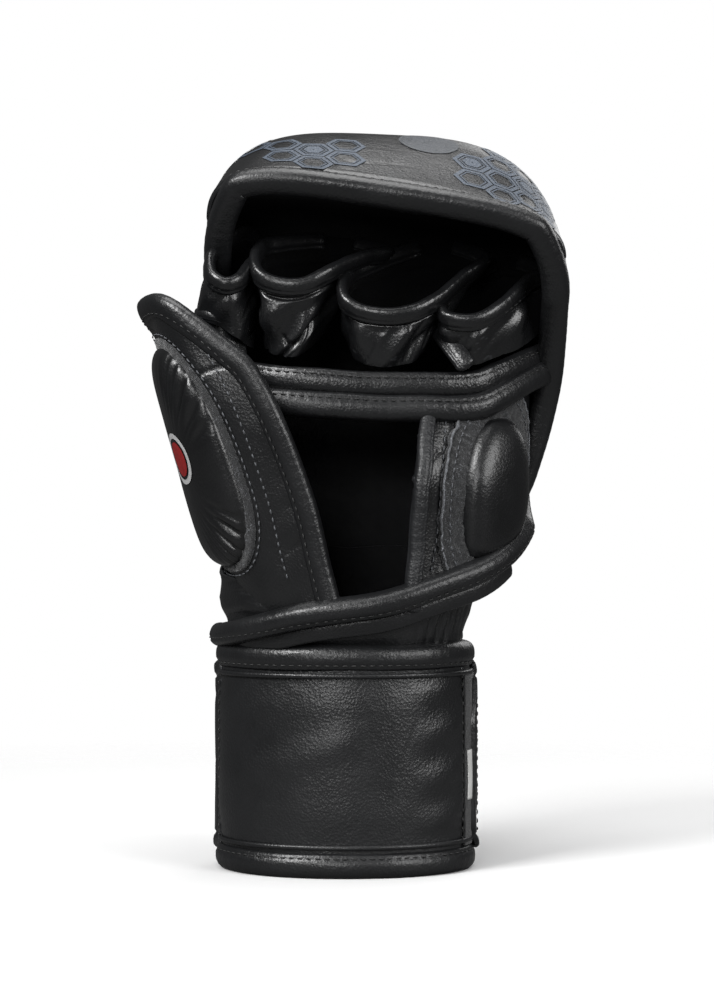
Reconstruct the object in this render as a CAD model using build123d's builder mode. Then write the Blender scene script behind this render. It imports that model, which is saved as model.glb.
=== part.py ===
"""Open-palm sparring glove for a left hand, in millimetres.

The glove stands on its cuff. The origin is the centre of the cuff's opening, in its bottom plane.
+Z runs from the wrist to the fingertips, -Y is the palm side, +Y the back of the hand,
-X the thumb side and +X the little-finger side.

It is an assembly of sewn pieces in nine groups that move against each other: the cuff, three strap
lengths, the hand with its knuckle pad, the thumb, and the four finger loops.
"""

import os
from math import cos, hypot, radians, sin

from build123d import *

os.makedirs("parts", exist_ok=True)

# ---------------------------------------------------------------- driving dimensions
LEATHER = 1.5  # one layer of leather with its backing
LINING = 1.2  # lining fabric
GAP = 0.2  # room left between sewn layers
ROLL = 4.0  # radius of the bound edge round the knuckle pad

CUFF_A = 43.0  # cuff half-width, outside
CUFF_B = 32.0  # cuff half-depth, outside
CUFF_HEIGHT = 78.0  # with both bound edges
CUFF_FOAM = 3.4
BINDING_HEIGHT = 9.0  # how far an edge tape reaches over the cuff
BINDING_PROUD = 1.5  # how far it stands out of the leather

STRAP_LOW, STRAP_HIGH = 9.6, 68.4  # the strap lies between the two bound edges
STRAP_THICK = 2.2
FASTENER = 0.6  # hook tape and loop tape, each
STRAP_ROOT, STRAP_BEND, STRAP_TURN, STRAP_END = 178.0, 125.0, 55.0, -8.0  # polar angles of its lengths
SEAM = 0.8  # angle left open between two lengths
TAPE_EDGE = 5.0  # width of the tape sewn round the strap's free end

PAD_CENTRE = 14.0  # the knuckle pad's mid plane, which sits towards the little finger
PAD_HALF = 61.0  # its half-width
PAD_EDGE = 6.0  # thickness where the layers are sewn together
RIM_LEAN = 9.0  # the front edge is this much higher at the thumb and lower at the little finger
HAND_CORE = (-10.0, 150.0)  # (Y, Z) near the middle of the palm
LOOP_PITCH = 25.6  # finger to finger
LOOP_A, LOOP_B = 12.0, 12.5  # half-width and half-depth of a finger loop
LOOP_LENGTH = 27.0
LOOP_TILT = 28.0  # lean of the finger loops towards the palm
LOOP_CENTRE = (-17.0, 207.5)  # (Y, Z) of the middle of a loop's mouth
HEM_HEIGHT = 6.0

# Stations along the knuckle pad from the wrist, over the knuckles, to the front edge, as (Y, Z).
BACK_OUTER = [(36, 96), (66, 140), (79, 190), (60, 237), (12, 256), (-36, 233)]
BACK_INNER = [(28, 98), (39, 140), (45, 180), (34, 212), (2, 229), (-34, 225)]
THUMB_EDGE = [(26, 98), (28, 130), (22, 163), (7, 191), (-10, 211), (-24, 222)]
LITTLE_EDGE = [(14, 105), (24, 132), (18, 163), (1, 186), (-14, 199), (-27, 208)]
CROSS_STEPS = (-1, -0.985, -0.93, -0.8, -0.6, -0.3, 0, 0.3, 0.6, 0.8, 0.93, 0.985, 1)

# Horizontal outlines of the curved side walls: height, then points from the back to the free edge.
THUMB_WALL = {
    100: [(-43, 16), (-44, -6), (-31, -24), (-10, -33)],
    130: [(-49, 11), (-52, -9), (-42, -28), (-21, -37)],
    165: [(-60, 3), (-62, -14), (-54, -32), (-37, -43)],
    188: [(-67, -5), (-70, -15), (-66, -28), (-54, -38)],
}
HEEL_WALL = {
    103: [(58, 4), (49, -12), (38, -22), (24, -31)],
    130: [(66, 8), (56, -11), (43, -24), (25, -35)],
    158: [(67, 6), (58, -12), (45, -26), (27, -36)],
}
BAR_PATH = [(62, -3, 175), (50, -17, 171.5), (8, -26, 168), (-22, -24, 169.5), (-38, -12, 173)]
BAR_THICK, BAR_HEIGHT, BAR_ROLL = 8.0, 10.0, 3.5
# The bound edge across the wrist, from the thumb side to the pad's corner at the little finger.
LOWER_BAND = [(-36, -22, 92.5), (-12, -35, 92.5), (14, -36.5, 94), (42, -28, 98), (60, -12, 102)]


# ---------------------------------------------------------------- small helpers
def save(builder, name):
    """Labels the finished piece and writes it as its own file."""
    builder.part.label = name
    export_step(builder.part, f"parts/{name}.step")


def towards(point, centre, distance):
    """The point moved a distance straight towards a centre."""
    length = hypot(centre[0] - point[0], centre[1] - point[1])
    return tuple(p + (c - p) * distance / length for p, c in zip(point, centre))


def ellipse_radius(angle, grow=0.0):
    """Distance from the cuff's axis to its outside, grown by a margin, at a polar angle."""
    a, b = CUFF_A + grow, CUFF_B + grow
    return a * b / hypot(b * cos(radians(angle)), a * sin(radians(angle)))


def at_angle(angle, radius):
    """The plan position at a polar angle and radius."""
    return (radius * cos(radians(angle)), radius * sin(radians(angle)))


def ring_sector(start, end, inner, outer):
    """A sketch of the cuff-shaped ring between two margins, from one polar angle up to another."""
    steps = [start + (end - start) * i / 4 for i in range(5)]
    with BuildSketch() as sector:
        Ellipse(CUFF_A + outer, CUFF_B + outer)
        Ellipse(CUFF_A + inner, CUFF_B + inner, mode=Mode.SUBTRACT)
        with BuildLine():
            Polyline((0, 0), *[at_angle(angle, 3 * CUFF_A) for angle in steps], close=True)
        make_face(mode=Mode.INTERSECT)
    return sector.sketch


def fullness(step, round_off, corner):
    """How far a cross-section has risen from its edge: 1 in the middle, 0 at either side."""
    return max(0.0, 1 - abs(step) ** round_off) ** (1 / corner)


def pad_point(step, station, inner):
    """(Y, Z) of the pad's outer or inner surface at a cross step and a station."""
    edge = (THUMB_EDGE if step < 0 else LITTLE_EDGE)[station]
    rise = fullness(step, 6, 2) if inner else fullness(step, 3.4, 2.4)
    crown = (BACK_INNER if inner else BACK_OUTER)[station]
    if station == len(BACK_OUTER) - 1:
        crown = (crown[0], crown[1] - RIM_LEAN * step)
    if inner:
        edge = towards(edge, HAND_CORE, PAD_EDGE)
    return tuple(e + (c - e) * rise for e, c in zip(edge, crown))


def pad_line(step, depth):
    """One layer boundary across the pad: depth from the outer surface, or from the inner one if negative."""
    line = []
    for station in range(len(BACK_OUTER)):
        outer, inner = pad_point(step, station, False), pad_point(step, station, True)
        line.append(towards(outer, inner, depth) if depth >= 0 else towards(inner, outer, -depth))
    return line


def pad_layer(near, far):
    """Sections of one pad layer, from the thumb side to the little-finger side."""
    sections = []
    for step in CROSS_STEPS:
        with BuildSketch(Plane.YZ.offset(PAD_CENTRE + PAD_HALF * step)) as section:
            with BuildLine():
                upper = Spline(*pad_line(step, near))
                lower = Spline(*pad_line(step, far))
                Line(upper @ 0, lower @ 0)
                Line(upper @ 1, lower @ 1)
            make_face()
        sections.append(section.sketch)
    return sections


def wall_layer(wall, centre, near, far):
    """Horizontal sections of a curved side wall between two depths from its outer face."""
    sections = []
    for height, points in wall.items():
        with BuildSketch(Plane.XY.offset(height)) as section:
            with BuildLine():
                outer = Spline(*[towards(p, centre, near) for p in points])
                inner = Spline(*[towards(p, centre, far) for p in points])
                Line(outer @ 0, inner @ 0)
                Line(outer @ 1, inner @ 1)
            make_face()
        sections.append(section.sketch)
    return sections


def rod(path_points, radius):
    """A round roll swept along a smooth path, as used for every bound edge."""
    with BuildPart() as roll:
        with BuildLine():
            path = Spline(*path_points)
        with BuildSketch(Plane(origin=path @ 0, z_dir=path % 0)):
            Circle(radius)
        sweep(path=path)
    return roll


def upright(path):
    """The plane across the start of a path, with its second axis as near to +Z as it can be."""
    ahead = path % 0
    return Plane(origin=path @ 0, x_dir=ahead.cross(Vector(0, 0, 1)), z_dir=ahead)


# ---------------------------------------------------------------- cuff
layer_low = BINDING_PROUD + GAP
layer_height = CUFF_HEIGHT - 2 * layer_low
foam_out = -(LEATHER + GAP)
foam_in = foam_out - CUFF_FOAM
lining_out = foam_in - GAP
lining_in = lining_out - LINING
PALM_SEAM, BACK_SEAM = 182.0, 338.0  # polar angles where the outer leather is joined

for piece, (start, end) in {
    "cuff_palm_panel": (PALM_SEAM, BACK_SEAM),
    "cuff_back_panel": (BACK_SEAM - 360 + SEAM, PALM_SEAM - SEAM),
}.items():
    with BuildPart() as cuff_panel:
        with BuildSketch(Plane.XY.offset(layer_low)):
            add(ring_sector(start, end, -LEATHER, 0))
        extrude(amount=layer_height)
    save(cuff_panel, piece)

for piece, (outer, inner) in {
    "cuff_foam": (foam_out, foam_in),
    "cuff_lining": (lining_out, lining_in),
}.items():
    with BuildPart() as cuff_layer:
        with BuildSketch(Plane.XY.offset(layer_low)):
            Ellipse(CUFF_A + outer, CUFF_B + outer)
            Ellipse(CUFF_A + inner, CUFF_B + inner, mode=Mode.SUBTRACT)
        extrude(amount=layer_height)
    save(cuff_layer, piece)

with BuildPart() as cuff_bottom_binding:
    with BuildSketch():
        Ellipse(CUFF_A + BINDING_PROUD, CUFF_B + BINDING_PROUD)
        Ellipse(CUFF_A + lining_in - BINDING_PROUD, CUFF_B + lining_in - BINDING_PROUD, mode=Mode.SUBTRACT)
    extrude(amount=BINDING_HEIGHT)
    with BuildSketch(Plane.XY.offset(BINDING_PROUD)):
        Ellipse(CUFF_A + GAP, CUFF_B + GAP)
        Ellipse(CUFF_A + lining_in - GAP, CUFF_B + lining_in - GAP, mode=Mode.SUBTRACT)
    extrude(amount=BINDING_HEIGHT, mode=Mode.SUBTRACT)
save(cuff_bottom_binding, "cuff_bottom_binding")

with BuildPart() as cuff_top_binding:
    add(cuff_bottom_binding.part.mirror(Plane.XY.offset(CUFF_HEIGHT / 2)))
save(cuff_top_binding, "cuff_top_binding")

with BuildPart() as loop_tape:
    with BuildSketch(Plane.XY.offset(STRAP_LOW + 4)):
        add(ring_sector(BACK_SEAM - 360 + SEAM, STRAP_TURN - 5, GAP, GAP + FASTENER))
    extrude(amount=STRAP_HIGH - STRAP_LOW - 8)
save(loop_tape, "loop_tape")

with BuildPart() as size_tag:
    with BuildSketch(Plane.XY.offset(25)):
        add(ring_sector(BACK_SEAM + 2, BACK_SEAM + 12, GAP + FASTENER, GAP + FASTENER + 0.4))
    extrude(amount=15)
save(size_tag, "size_tag")

# ---------------------------------------------------------------- strap, in three lengths
strap_in = 2 * (GAP + FASTENER) + GAP
strap_out = strap_in + STRAP_THICK

for piece, (start, end) in {
    "strap_root_panel": (STRAP_BEND + SEAM, STRAP_ROOT),
    "strap_middle_panel": (STRAP_TURN + SEAM, STRAP_BEND),
}.items():
    with BuildPart() as strap_length:
        with BuildSketch(Plane.XY.offset(STRAP_LOW)):
            add(ring_sector(start, end, strap_in, strap_out))
        extrude(amount=STRAP_HIGH - STRAP_LOW)
    save(strap_length, piece)


def tip_outline(inset):
    """The strap's free end from the side: a slanted upper corner and a round lower one."""
    tip_y = ellipse_radius(STRAP_END, strap_out) * sin(radians(STRAP_END)) + inset
    low, high = STRAP_LOW + inset, STRAP_HIGH - inset
    back_y = CUFF_B + 2 * strap_out
    with BuildSketch(Plane.YZ) as outline:
        with BuildLine():
            Polyline(
                (back_y, low), (tip_y, low), (tip_y, high - 16), (tip_y + 14, high), (back_y, high), close=True
            )
        make_face()
        fillet(outline.vertices().group_by(Axis.X)[0], radius=12 - inset)
    return outline.sketch


def strap_tip(near, far, inset):
    """The curved sheet of the strap's last length, trimmed to the shape of its free end."""
    with BuildPart() as sheet:
        with BuildSketch():
            add(ring_sector(STRAP_END - 4, STRAP_TURN, near, far))
        extrude(amount=CUFF_HEIGHT)
        extrude(tip_outline(inset), amount=2 * CUFF_A, mode=Mode.INTERSECT)
    return sheet.part


with BuildPart() as strap_tip_panel:
    add(strap_tip(strap_in, strap_out - 0.3, TAPE_EDGE + GAP))
save(strap_tip_panel, "strap_tip_panel")

with BuildPart() as strap_tip_binding:
    add(strap_tip(strap_in, strap_out, 0))
    add(strap_tip(0, 2 * strap_out, TAPE_EDGE), mode=Mode.SUBTRACT)
save(strap_tip_binding, "strap_tip_binding")

with BuildPart() as hook_tape:
    with BuildSketch(Plane.XY.offset(STRAP_LOW + 8)):
        add(ring_sector(STRAP_END + 9, STRAP_TURN - 8, strap_in - GAP - FASTENER, strap_in - GAP))
    extrude(amount=STRAP_HIGH - STRAP_LOW - 26)
save(hook_tape, "hook_tape")

with BuildPart() as wrist_label:
    with BuildSketch(Plane.XY.offset(STRAP_LOW + 7)):
        add(ring_sector(13, 50, strap_out - 0.1, strap_out + 0.4))
    extrude(amount=STRAP_HIGH - STRAP_LOW - 14)
save(wrist_label, "wrist_label")

# ---------------------------------------------------------------- hand: knuckle pad
for piece, (near, far) in {
    "knuckle_pad_cover": (0, LEATHER),
    "knuckle_pad_foam": (LEATHER + GAP, -(LINING + GAP)),
    "hand_lining": (-LINING, -0.01),
}.items():
    with BuildPart() as pad_piece:
        loft(pad_layer(near, far), ruled=True)
    save(pad_piece, piece)

side_reach = PAD_HALF - ROLL
under_edge = PAD_EDGE + ROLL + GAP


def edge_roll_points():
    """Axis of the pad's bound edge: up the thumb side, across the front and down the other side."""
    thumb = [towards(p, HAND_CORE, under_edge) for p in THUMB_EDGE[:-1]]
    little = [towards(p, HAND_CORE, under_edge) for p in LITTLE_EDGE[:-1]]
    last = len(BACK_OUTER) - 1
    front = []
    for step in (-1, -0.9, -0.5, 0, 0.5, 0.9, 1):
        outer, inner = pad_point(step, last, False), pad_point(step, last, True)
        middle = ((outer[0] + inner[0]) / 2 - ROLL - 1.5, (outer[1] + inner[1]) / 2 - 2)
        front.append((PAD_CENTRE + side_reach * step, *middle))
    return (
        [(PAD_CENTRE - side_reach, *p) for p in thumb]
        + front
        + [(PAD_CENTRE + side_reach, *p) for p in reversed(little)]
    )


save(rod(edge_roll_points(), ROLL), "pad_edge_binding")
save(rod(LOWER_BAND, BAR_ROLL), "palm_lower_binding")

with BuildPart() as gauntlet:
    for height, a, b in ((73, 33.6, 22.6), (84, 33.6, 22.6), (91, 37, 25), (98, 40, 27)):
        with BuildSketch(Plane.XY.offset(height)):
            Ellipse(a, b)
            Ellipse(a - LEATHER, b - LEATHER, mode=Mode.SUBTRACT)
    loft()
save(gauntlet, "gauntlet")

# ---------------------------------------------------------------- hand: palm bar
with BuildPart() as grip_bar_core:
    with BuildLine():
        bar_path = Spline(*BAR_PATH)
    with BuildSketch(upright(bar_path)):
        RectangleRounded(BAR_THICK - 2 * (LEATHER + GAP), BAR_HEIGHT - 2 * (LEATHER + GAP), 1.5)
    sweep(path=bar_path)
save(grip_bar_core, "grip_bar_core")

with BuildPart() as grip_bar_cover:
    with BuildLine():
        cover_path = Spline(*BAR_PATH)
    with BuildSketch(upright(cover_path)):
        RectangleRounded(BAR_THICK, BAR_HEIGHT, 3)
        RectangleRounded(BAR_THICK - 2 * LEATHER, BAR_HEIGHT - 2 * LEATHER, 1.6, mode=Mode.SUBTRACT)
    sweep(path=cover_path)
save(grip_bar_cover, "grip_bar_cover")

bar_drop = BAR_HEIGHT / 2 + BAR_ROLL + 0.4
save(rod([(x, y, z - bar_drop) for x, y, z in BAR_PATH], BAR_ROLL), "grip_bar_binding")

# ---------------------------------------------------------------- hand: heel panel and its pad
HEEL_CORE = (15, 5)
with BuildPart() as heel_panel:
    loft(wall_layer(HEEL_WALL, HEEL_CORE, 0, 2 * LEATHER))
save(heel_panel, "heel_panel")


def side_pad(position, angle, low, high, half_width, thick, wall, centre):
    """A raised oval pad standing on a side wall, cut off flush with the wall's outer face."""
    middle = (low + high) / 2
    with BuildPart() as oval:
        for share in (-1, -0.94, -0.75, -0.4, 0, 0.4, 0.75, 0.94, 1):
            size = max(0.12, (1 - abs(share) ** 3) ** 0.5)
            height = middle + (high - low) / 2 * share
            x, y = position(height)
            with BuildSketch(Plane.XY.offset(height)):
                with Locations(Location((x, y, 0), (0, 0, angle))):
                    Ellipse(half_width * size, thick * size)
        loft()
        loft(wall_layer(wall, centre, -GAP, 20), mode=Mode.SUBTRACT)
    return oval.part


def between(wall, share):
    """A function of height that gives the middle of a wall's outline, between its two inner points."""
    levels = sorted(wall)

    def position(height):
        low = max([z for z in levels if z <= height], default=levels[0])
        high = min([z for z in levels if z > height], default=levels[-1])
        blend = 0 if high == low else (height - low) / (high - low)
        ends = [
            tuple(a + (b - a) * share for a, b in zip(wall[z][1], wall[z][2])) for z in (low, high)
        ]
        return tuple(a + (b - a) * blend for a, b in zip(*ends))

    return position


heel_spot = between(HEEL_WALL, 0.5)
with BuildPart() as heel_pad_foam:
    add(side_pad(heel_spot, 132, 110, 154, 12.5, 5.6, HEEL_WALL, HEEL_CORE))
save(heel_pad_foam, "heel_pad_foam")

with BuildPart() as heel_pad_cover:
    add(side_pad(heel_spot, 132, 108, 156, 14.5, 7.5, HEEL_WALL, HEEL_CORE))
    add(side_pad(heel_spot, 132, 109.8, 154.2, 12.8, 5.9, HEEL_WALL, HEEL_CORE), mode=Mode.SUBTRACT)
save(heel_pad_cover, "heel_pad_cover")

with BuildPart() as index_side_wall:
    with BuildSketch(Plane.YZ.offset(-41)) as wall_outline:
        with BuildLine():
            Polyline((-12, 181), (-28, 185), (-35, 204), (-25, 209), close=True)
        make_face()
        fillet(wall_outline.vertices(), radius=3)
    extrude(amount=LEATHER)
save(index_side_wall, "index_side_wall")

# ---------------------------------------------------------------- thumb
THUMB_CORE = (-30, -3)
for piece, (near, far) in {
    "thumb_shell": (0, LEATHER),
    "thumb_lining": (LEATHER + GAP, LEATHER + GAP + LINING),
}.items():
    with BuildPart() as thumb_layer:
        loft(wall_layer(THUMB_WALL, THUMB_CORE, near, far))
    save(thumb_layer, piece)

thumb_spot = between(THUMB_WALL, 0.35)
with BuildPart() as thumb_pad_foam:
    add(side_pad(thumb_spot, 112, 106, 176, 12.0, 7.6, THUMB_WALL, THUMB_CORE))
save(thumb_pad_foam, "thumb_pad_foam")

with BuildPart() as thumb_pad_cover:
    add(side_pad(thumb_spot, 112, 104, 178, 14.0, 9.5, THUMB_WALL, THUMB_CORE))
    add(side_pad(thumb_spot, 112, 105.8, 176.2, 12.3, 7.9, THUMB_WALL, THUMB_CORE), mode=Mode.SUBTRACT)
save(thumb_pad_cover, "thumb_pad_cover")


def thumb_edge_points():
    """Axis of the thumb's bound edge: along the top, round the tip and down the free edge."""
    top = max(THUMB_WALL)
    reach = BAR_ROLL + 1.5
    free_edge = []
    for height in sorted(THUMB_WALL, reverse=True):
        before, last = THUMB_WALL[height][-2:]
        above = reach if height == top else 0
        free_edge.append((*towards(last, before, -reach), height + above))
    along_top = [(*towards(p, THUMB_CORE, LEATHER), top + reach) for p in THUMB_WALL[top][:-1]]
    return along_top + free_edge


save(rod(thumb_edge_points(), BAR_ROLL), "thumb_edge_binding")

with BuildPart() as thumb_strap:
    with BuildSketch(Plane.XY.offset(132)):
        with BuildLine():
            strap_outer = Spline((-46, -2), (-34, -5), (-26, -16), (-29, -31))
            strap_inner = Spline((-47, -3.5), (-35, -6.5), (-27.6, -16.5), (-30.6, -31))
            Line(strap_outer @ 0, strap_inner @ 0)
            Line(strap_outer @ 1, strap_inner @ 1)
        make_face()
    extrude(amount=22)
save(thumb_strap, "thumb_strap")

with BuildPart() as thumb_gusset:
    for height, start, end in (
        (130, (-47.6, 15), (-49.6, 14)),
        (155, (-47.6, 12), (-55, 10)),
        (180, (-47.6, 4), (-62, 2)),
    ):
        with BuildSketch(Plane.XY.offset(height)):
            with BuildLine():
                Polyline(start, end, (end[0], end[1] + LEATHER), (start[0], start[1] + LEATHER), close=True)
            make_face()
    loft()
save(thumb_gusset, "thumb_gusset")

# ---------------------------------------------------------------- finger loops
LOOPS = {"index": -1.5, "middle": -0.5, "ring": 0.5, "little": 1.5}

for finger, place in LOOPS.items():
    mouth = Plane(
        origin=(PAD_CENTRE + LOOP_PITCH * place, *LOOP_CENTRE),
        x_dir=(1, 0, 0),
        z_dir=(0, -sin(radians(LOOP_TILT)), cos(radians(LOOP_TILT))),
    )
    with BuildPart() as loop:
        with BuildSketch(mouth.offset(-HEM_HEIGHT - GAP)):
            Ellipse(LOOP_A, LOOP_B)
            Ellipse(LOOP_A - LEATHER, LOOP_B - LEATHER, mode=Mode.SUBTRACT)
        extrude(amount=-(LOOP_LENGTH - HEM_HEIGHT))
    save(loop, f"{finger}_loop")
    with BuildPart() as hem:
        with BuildSketch(mouth):
            Ellipse(LOOP_A + 0.5, LOOP_B + 0.5)
            Ellipse(LOOP_A - LEATHER - 0.5, LOOP_B - LEATHER - 0.5, mode=Mode.SUBTRACT)
        extrude(amount=-HEM_HEIGHT)
        fillet(hem.faces().sort_by(Axis.Z)[-1].edges(), radius=0.8)
    save(hem, f"{finger}_loop_hem")
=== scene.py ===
"""Looks of a left-hand open-palm sparring glove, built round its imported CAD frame.

Lengths in this script are millimetres in the frame's axes, and mesh_object() turns them
into metres: +Z wrist to fingertips, -Y palm side, -X thumb side. Surfaces are grids of points, bound edges
are sections swept along a path, and every stitch is a small piece of thread.
"""
import math

import bpy
import numpy as np
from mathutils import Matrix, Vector, noise


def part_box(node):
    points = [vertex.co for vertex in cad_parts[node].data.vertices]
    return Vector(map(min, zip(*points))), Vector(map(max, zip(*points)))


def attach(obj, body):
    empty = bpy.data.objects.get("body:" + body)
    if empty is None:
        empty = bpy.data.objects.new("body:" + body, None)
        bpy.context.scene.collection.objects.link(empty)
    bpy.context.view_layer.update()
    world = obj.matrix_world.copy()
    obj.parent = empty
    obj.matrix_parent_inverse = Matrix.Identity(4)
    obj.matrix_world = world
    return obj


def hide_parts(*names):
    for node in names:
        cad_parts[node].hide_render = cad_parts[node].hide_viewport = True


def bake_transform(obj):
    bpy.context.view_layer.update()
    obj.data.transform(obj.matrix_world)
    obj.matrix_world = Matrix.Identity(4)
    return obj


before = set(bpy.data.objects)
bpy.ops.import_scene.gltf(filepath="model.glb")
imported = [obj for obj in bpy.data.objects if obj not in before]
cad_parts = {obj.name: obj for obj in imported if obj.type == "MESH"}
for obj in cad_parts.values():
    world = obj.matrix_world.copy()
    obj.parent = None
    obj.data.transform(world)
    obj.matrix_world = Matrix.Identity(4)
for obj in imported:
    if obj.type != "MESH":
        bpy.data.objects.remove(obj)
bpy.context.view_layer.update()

MM = 0.001
STITCH_PITCH = 3.4  # between the swellings that the thread leaves in a bound edge


def box(node):
    """Lowest and highest corner of a CAD node, in millimetres."""
    low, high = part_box(node)
    return np.array(low) / MM, np.array(high) / MM


# ---------------------------------------------------------------- sizes
CUFF_HIGH = box("cuff_top_binding")[1]
TAPE_PROUD = 1.5  # how far the edge tape stands out from the cuff's leather
CUFF_TOP = CUFF_HIGH[2]
CUFF_A = CUFF_HIGH[0] - TAPE_PROUD
CUFF_B = CUFF_HIGH[1] - TAPE_PROUD
CUFF_WALL = 6.5  # outer leather to lining
TAPE_HEIGHT = 9.5

PAD_LOW, PAD_HIGH = box("knuckle_pad_cover")
PAD_CENTRE = (PAD_LOW[0] + PAD_HIGH[0]) / 2
PAD_HALF = (PAD_HIGH[0] - PAD_LOW[0]) / 2
PAD_EDGE = 6.0
RIM_LEAN = 9.0
EDGE_ROLL = 4.2
HAND_CORE = np.array([-10.0, 150.0])

# Stations of the pad from the wrist, over the knuckles, to the front rim, as (Y, Z).
PAD_CROWN = [(36, 97), (66, 140), (79, 190), (60, 237), (12, 256), (-36, 233)]
PAD_INNER = [(28, 98), (39, 140), (45, 180), (34, 212), (2, 229), (-34, 225)]
THUMB_EDGE = [(29, 112), (28, 131), (22, 163), (7, 191), (-10, 211), (-24, 222)]
LITTLE_EDGE = [(15, 113), (18, 132), (14, 163), (-1, 186), (-15, 199), (-27, 208)]
RIM = len(PAD_CROWN) - 1

# Horizontal outlines of the thumb and of the palm's heel, from the back to the free edge.
THUMB_WALL = [
    [(-39, 16, 92), (-38, -8, 90), (-26, -27, 89), (-5, -35, 88)],
    [(-41, 15, 110), (-42, -9, 108), (-32, -29, 106), (-9, -36, 104)],
    [(-46, 10, 133), (-48, -12, 131), (-38, -33, 130), (-15, -39, 128)],
    [(-55, 4, 165), (-58, -15, 165), (-49, -37, 163), (-28, -43, 160)],
    [(-66, -4, 189), (-69, -16, 191), (-62, -32, 192), (-46, -40, 188)],
]
HEEL_WALL = [
    [(20, -33, 89), (35, -27, 91), (47, -15, 94), (51, 15, 99)],
    [(22, -34, 112), (42, -23, 114), (56, -8, 116), (58, 21, 119)],
    [(24, -36, 136), (44, -24, 136), (59, -8, 136), (64, 23, 136)],
    [(27, -21, 163), (46, -18, 166), (60, -6, 167), (69, 16, 168)],
]
BAR_PATH = [
    (71.5, 7, 181), (64, -4, 178), (52, -16, 173), (40, -22, 169.5), (8, -27, 169.5), (-22, -25, 171.5),
    (-42, -12, 175),
]
LOWER_BAND = [
    (63, 2, 121), (57, -12, 111), (47, -23, 103.5), (30, -31, 97.5), (13, -36, 92), (-12, -34.5, 88.5),
    (-31, -25, 83.5), (-40.5, -9, 80.5), (-43, 4, 80),
]


# ---------------------------------------------------------------- curves and grids
def spline(a, b, c, d, t):
    """The point a share t of the way from b to c, on the smooth curve through a, b, c and d."""
    return 0.5 * (2 * b + (c - a) * t + (2 * a - 5 * b + 4 * c - d) * t**2 + (3 * b - a - 3 * c + d) * t**3)


def station(points, at):
    """The smooth curve through the points, at positions counted in points."""
    p = np.array(points, float)
    p = np.concatenate([[2 * p[0] - p[1]], p, [2 * p[-1] - p[-2]]])
    at = np.clip(np.asarray(at, float), 0, len(points) - 1)
    i = np.minimum(at.astype(int), len(points) - 2)
    t = (at - i)[..., None]
    return spline(p[i], p[i + 1], p[i + 2], p[i + 3], t)


def even(points, count, closed=False):
    """Points spaced evenly along a polyline."""
    p = np.array(points, float)
    if closed:
        p = np.concatenate([p, p[:1]])
    far = np.concatenate([[0], np.cumsum(np.linalg.norm(np.diff(p, axis=0), axis=1))])
    want = np.linspace(0, far[-1], count, endpoint=not closed)
    return np.stack([np.interp(want, far, p[:, k]) for k in range(p.shape[1])], 1)


def smooth_path(points, count):
    """Points spaced evenly along the smooth curve through a few given ones."""
    return even(station(points, np.linspace(0, len(points) - 1, 40 * len(points))), count)


def unit(v):
    return v / np.maximum(np.linalg.norm(v, axis=-1, keepdims=True), 1e-9)


def step(low, high, x):
    """0 below low, 1 above high, and smooth between."""
    t = np.clip((x - low) / (high - low), 0, 1)
    return t * t * (3 - 2 * t)


def hill(x, at, width):
    """1 where x is at a place, falling off smoothly within about a width of it."""
    return np.exp(-(((x - at) / width) ** 2))


def net(across, up):
    """Two grids of values, from a start, an end and a count each."""
    return np.meshgrid(np.linspace(*across), np.linspace(*up))


def once_round(count):
    """Angles round a full circle, the last one short of the first."""
    return np.linspace(0, 2 * math.pi, count, endpoint=False)


def looped(path):
    """A path with its first point again at its end."""
    return np.concatenate([path, path[:1]])


def tangents(path, closed=False):
    if closed:
        return unit(np.roll(path, -1, 0) - np.roll(path, 1, 0))
    return unit(np.gradient(path, axis=0))


def normals(grid, closed=False):
    """Unit normals of a grid: columns cross rows. A closed grid joins its last column to its first."""
    across = (np.roll(grid, -1, 1) - np.roll(grid, 1, 1)) if closed else np.gradient(grid, axis=1)
    return unit(np.cross(across, np.gradient(grid, axis=0)))


def ripple(points, size, seed=0.0):
    """Smooth noise between -1 and 1 at each point; size is about the distance between its hills."""
    flat = points.reshape(-1, 3) / size + seed * 13.7
    return np.array([noise.noise(p) for p in flat.tolist()]).reshape(points.shape[:-1])


def creases(points, size, width=0.12, seed=0.0, lie=(0.6, 0, 0.8)):
    """0 on plain leather and up to 1 in the bottom of a crease. Most creases run along lie."""
    lie = unit(np.array(lie, float))
    along = (points @ lie)[..., None] * lie
    hills = ripple(points - 0.76 * along, size, seed)
    kept = step(0.0, 0.25, ripple(points, 1.6 * size, seed + 5))
    return np.maximum(0, 1 - np.abs(hills) / width) ** 1.5 * kept


def puff(grid, amount, closed=False):
    return grid + normals(grid, closed) * np.asarray(amount)[..., None]


def mesh_object(name, points, faces):
    mesh = bpy.data.meshes.new(name)
    mesh.from_pydata((np.asarray(points).reshape(-1, 3) * MM).tolist(), [], faces)
    mesh.validate()
    mesh.polygons.foreach_set("use_smooth", [True] * len(mesh.polygons))
    obj = bpy.data.objects.new(name, mesh)
    bpy.context.scene.collection.objects.link(obj)
    return obj


def grid_faces(rows, cols, closed=False, flip=False):
    """The quads of a grid. A closed grid joins its last column to its first."""
    faces = []
    for r in range(rows - 1):
        for c in range(cols if closed else cols - 1):
            d = (c + 1) % cols
            quad = (r * cols + c, r * cols + d, (r + 1) * cols + d, (r + 1) * cols + c)
            faces.append(quad[::-1] if flip else quad)
    return faces


def sheet(name, grid, thick=0.0, closed=False, flip=False):
    """A surface through a grid of points. Thick adds a back face that far behind it."""
    obj = mesh_object(name, grid, grid_faces(*grid.shape[:2], closed, flip))
    if thick:
        solid = obj.modifiers.new("thickness", "SOLIDIFY")
        solid.thickness = thick * MM
        solid.offset = -1
    return obj


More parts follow.
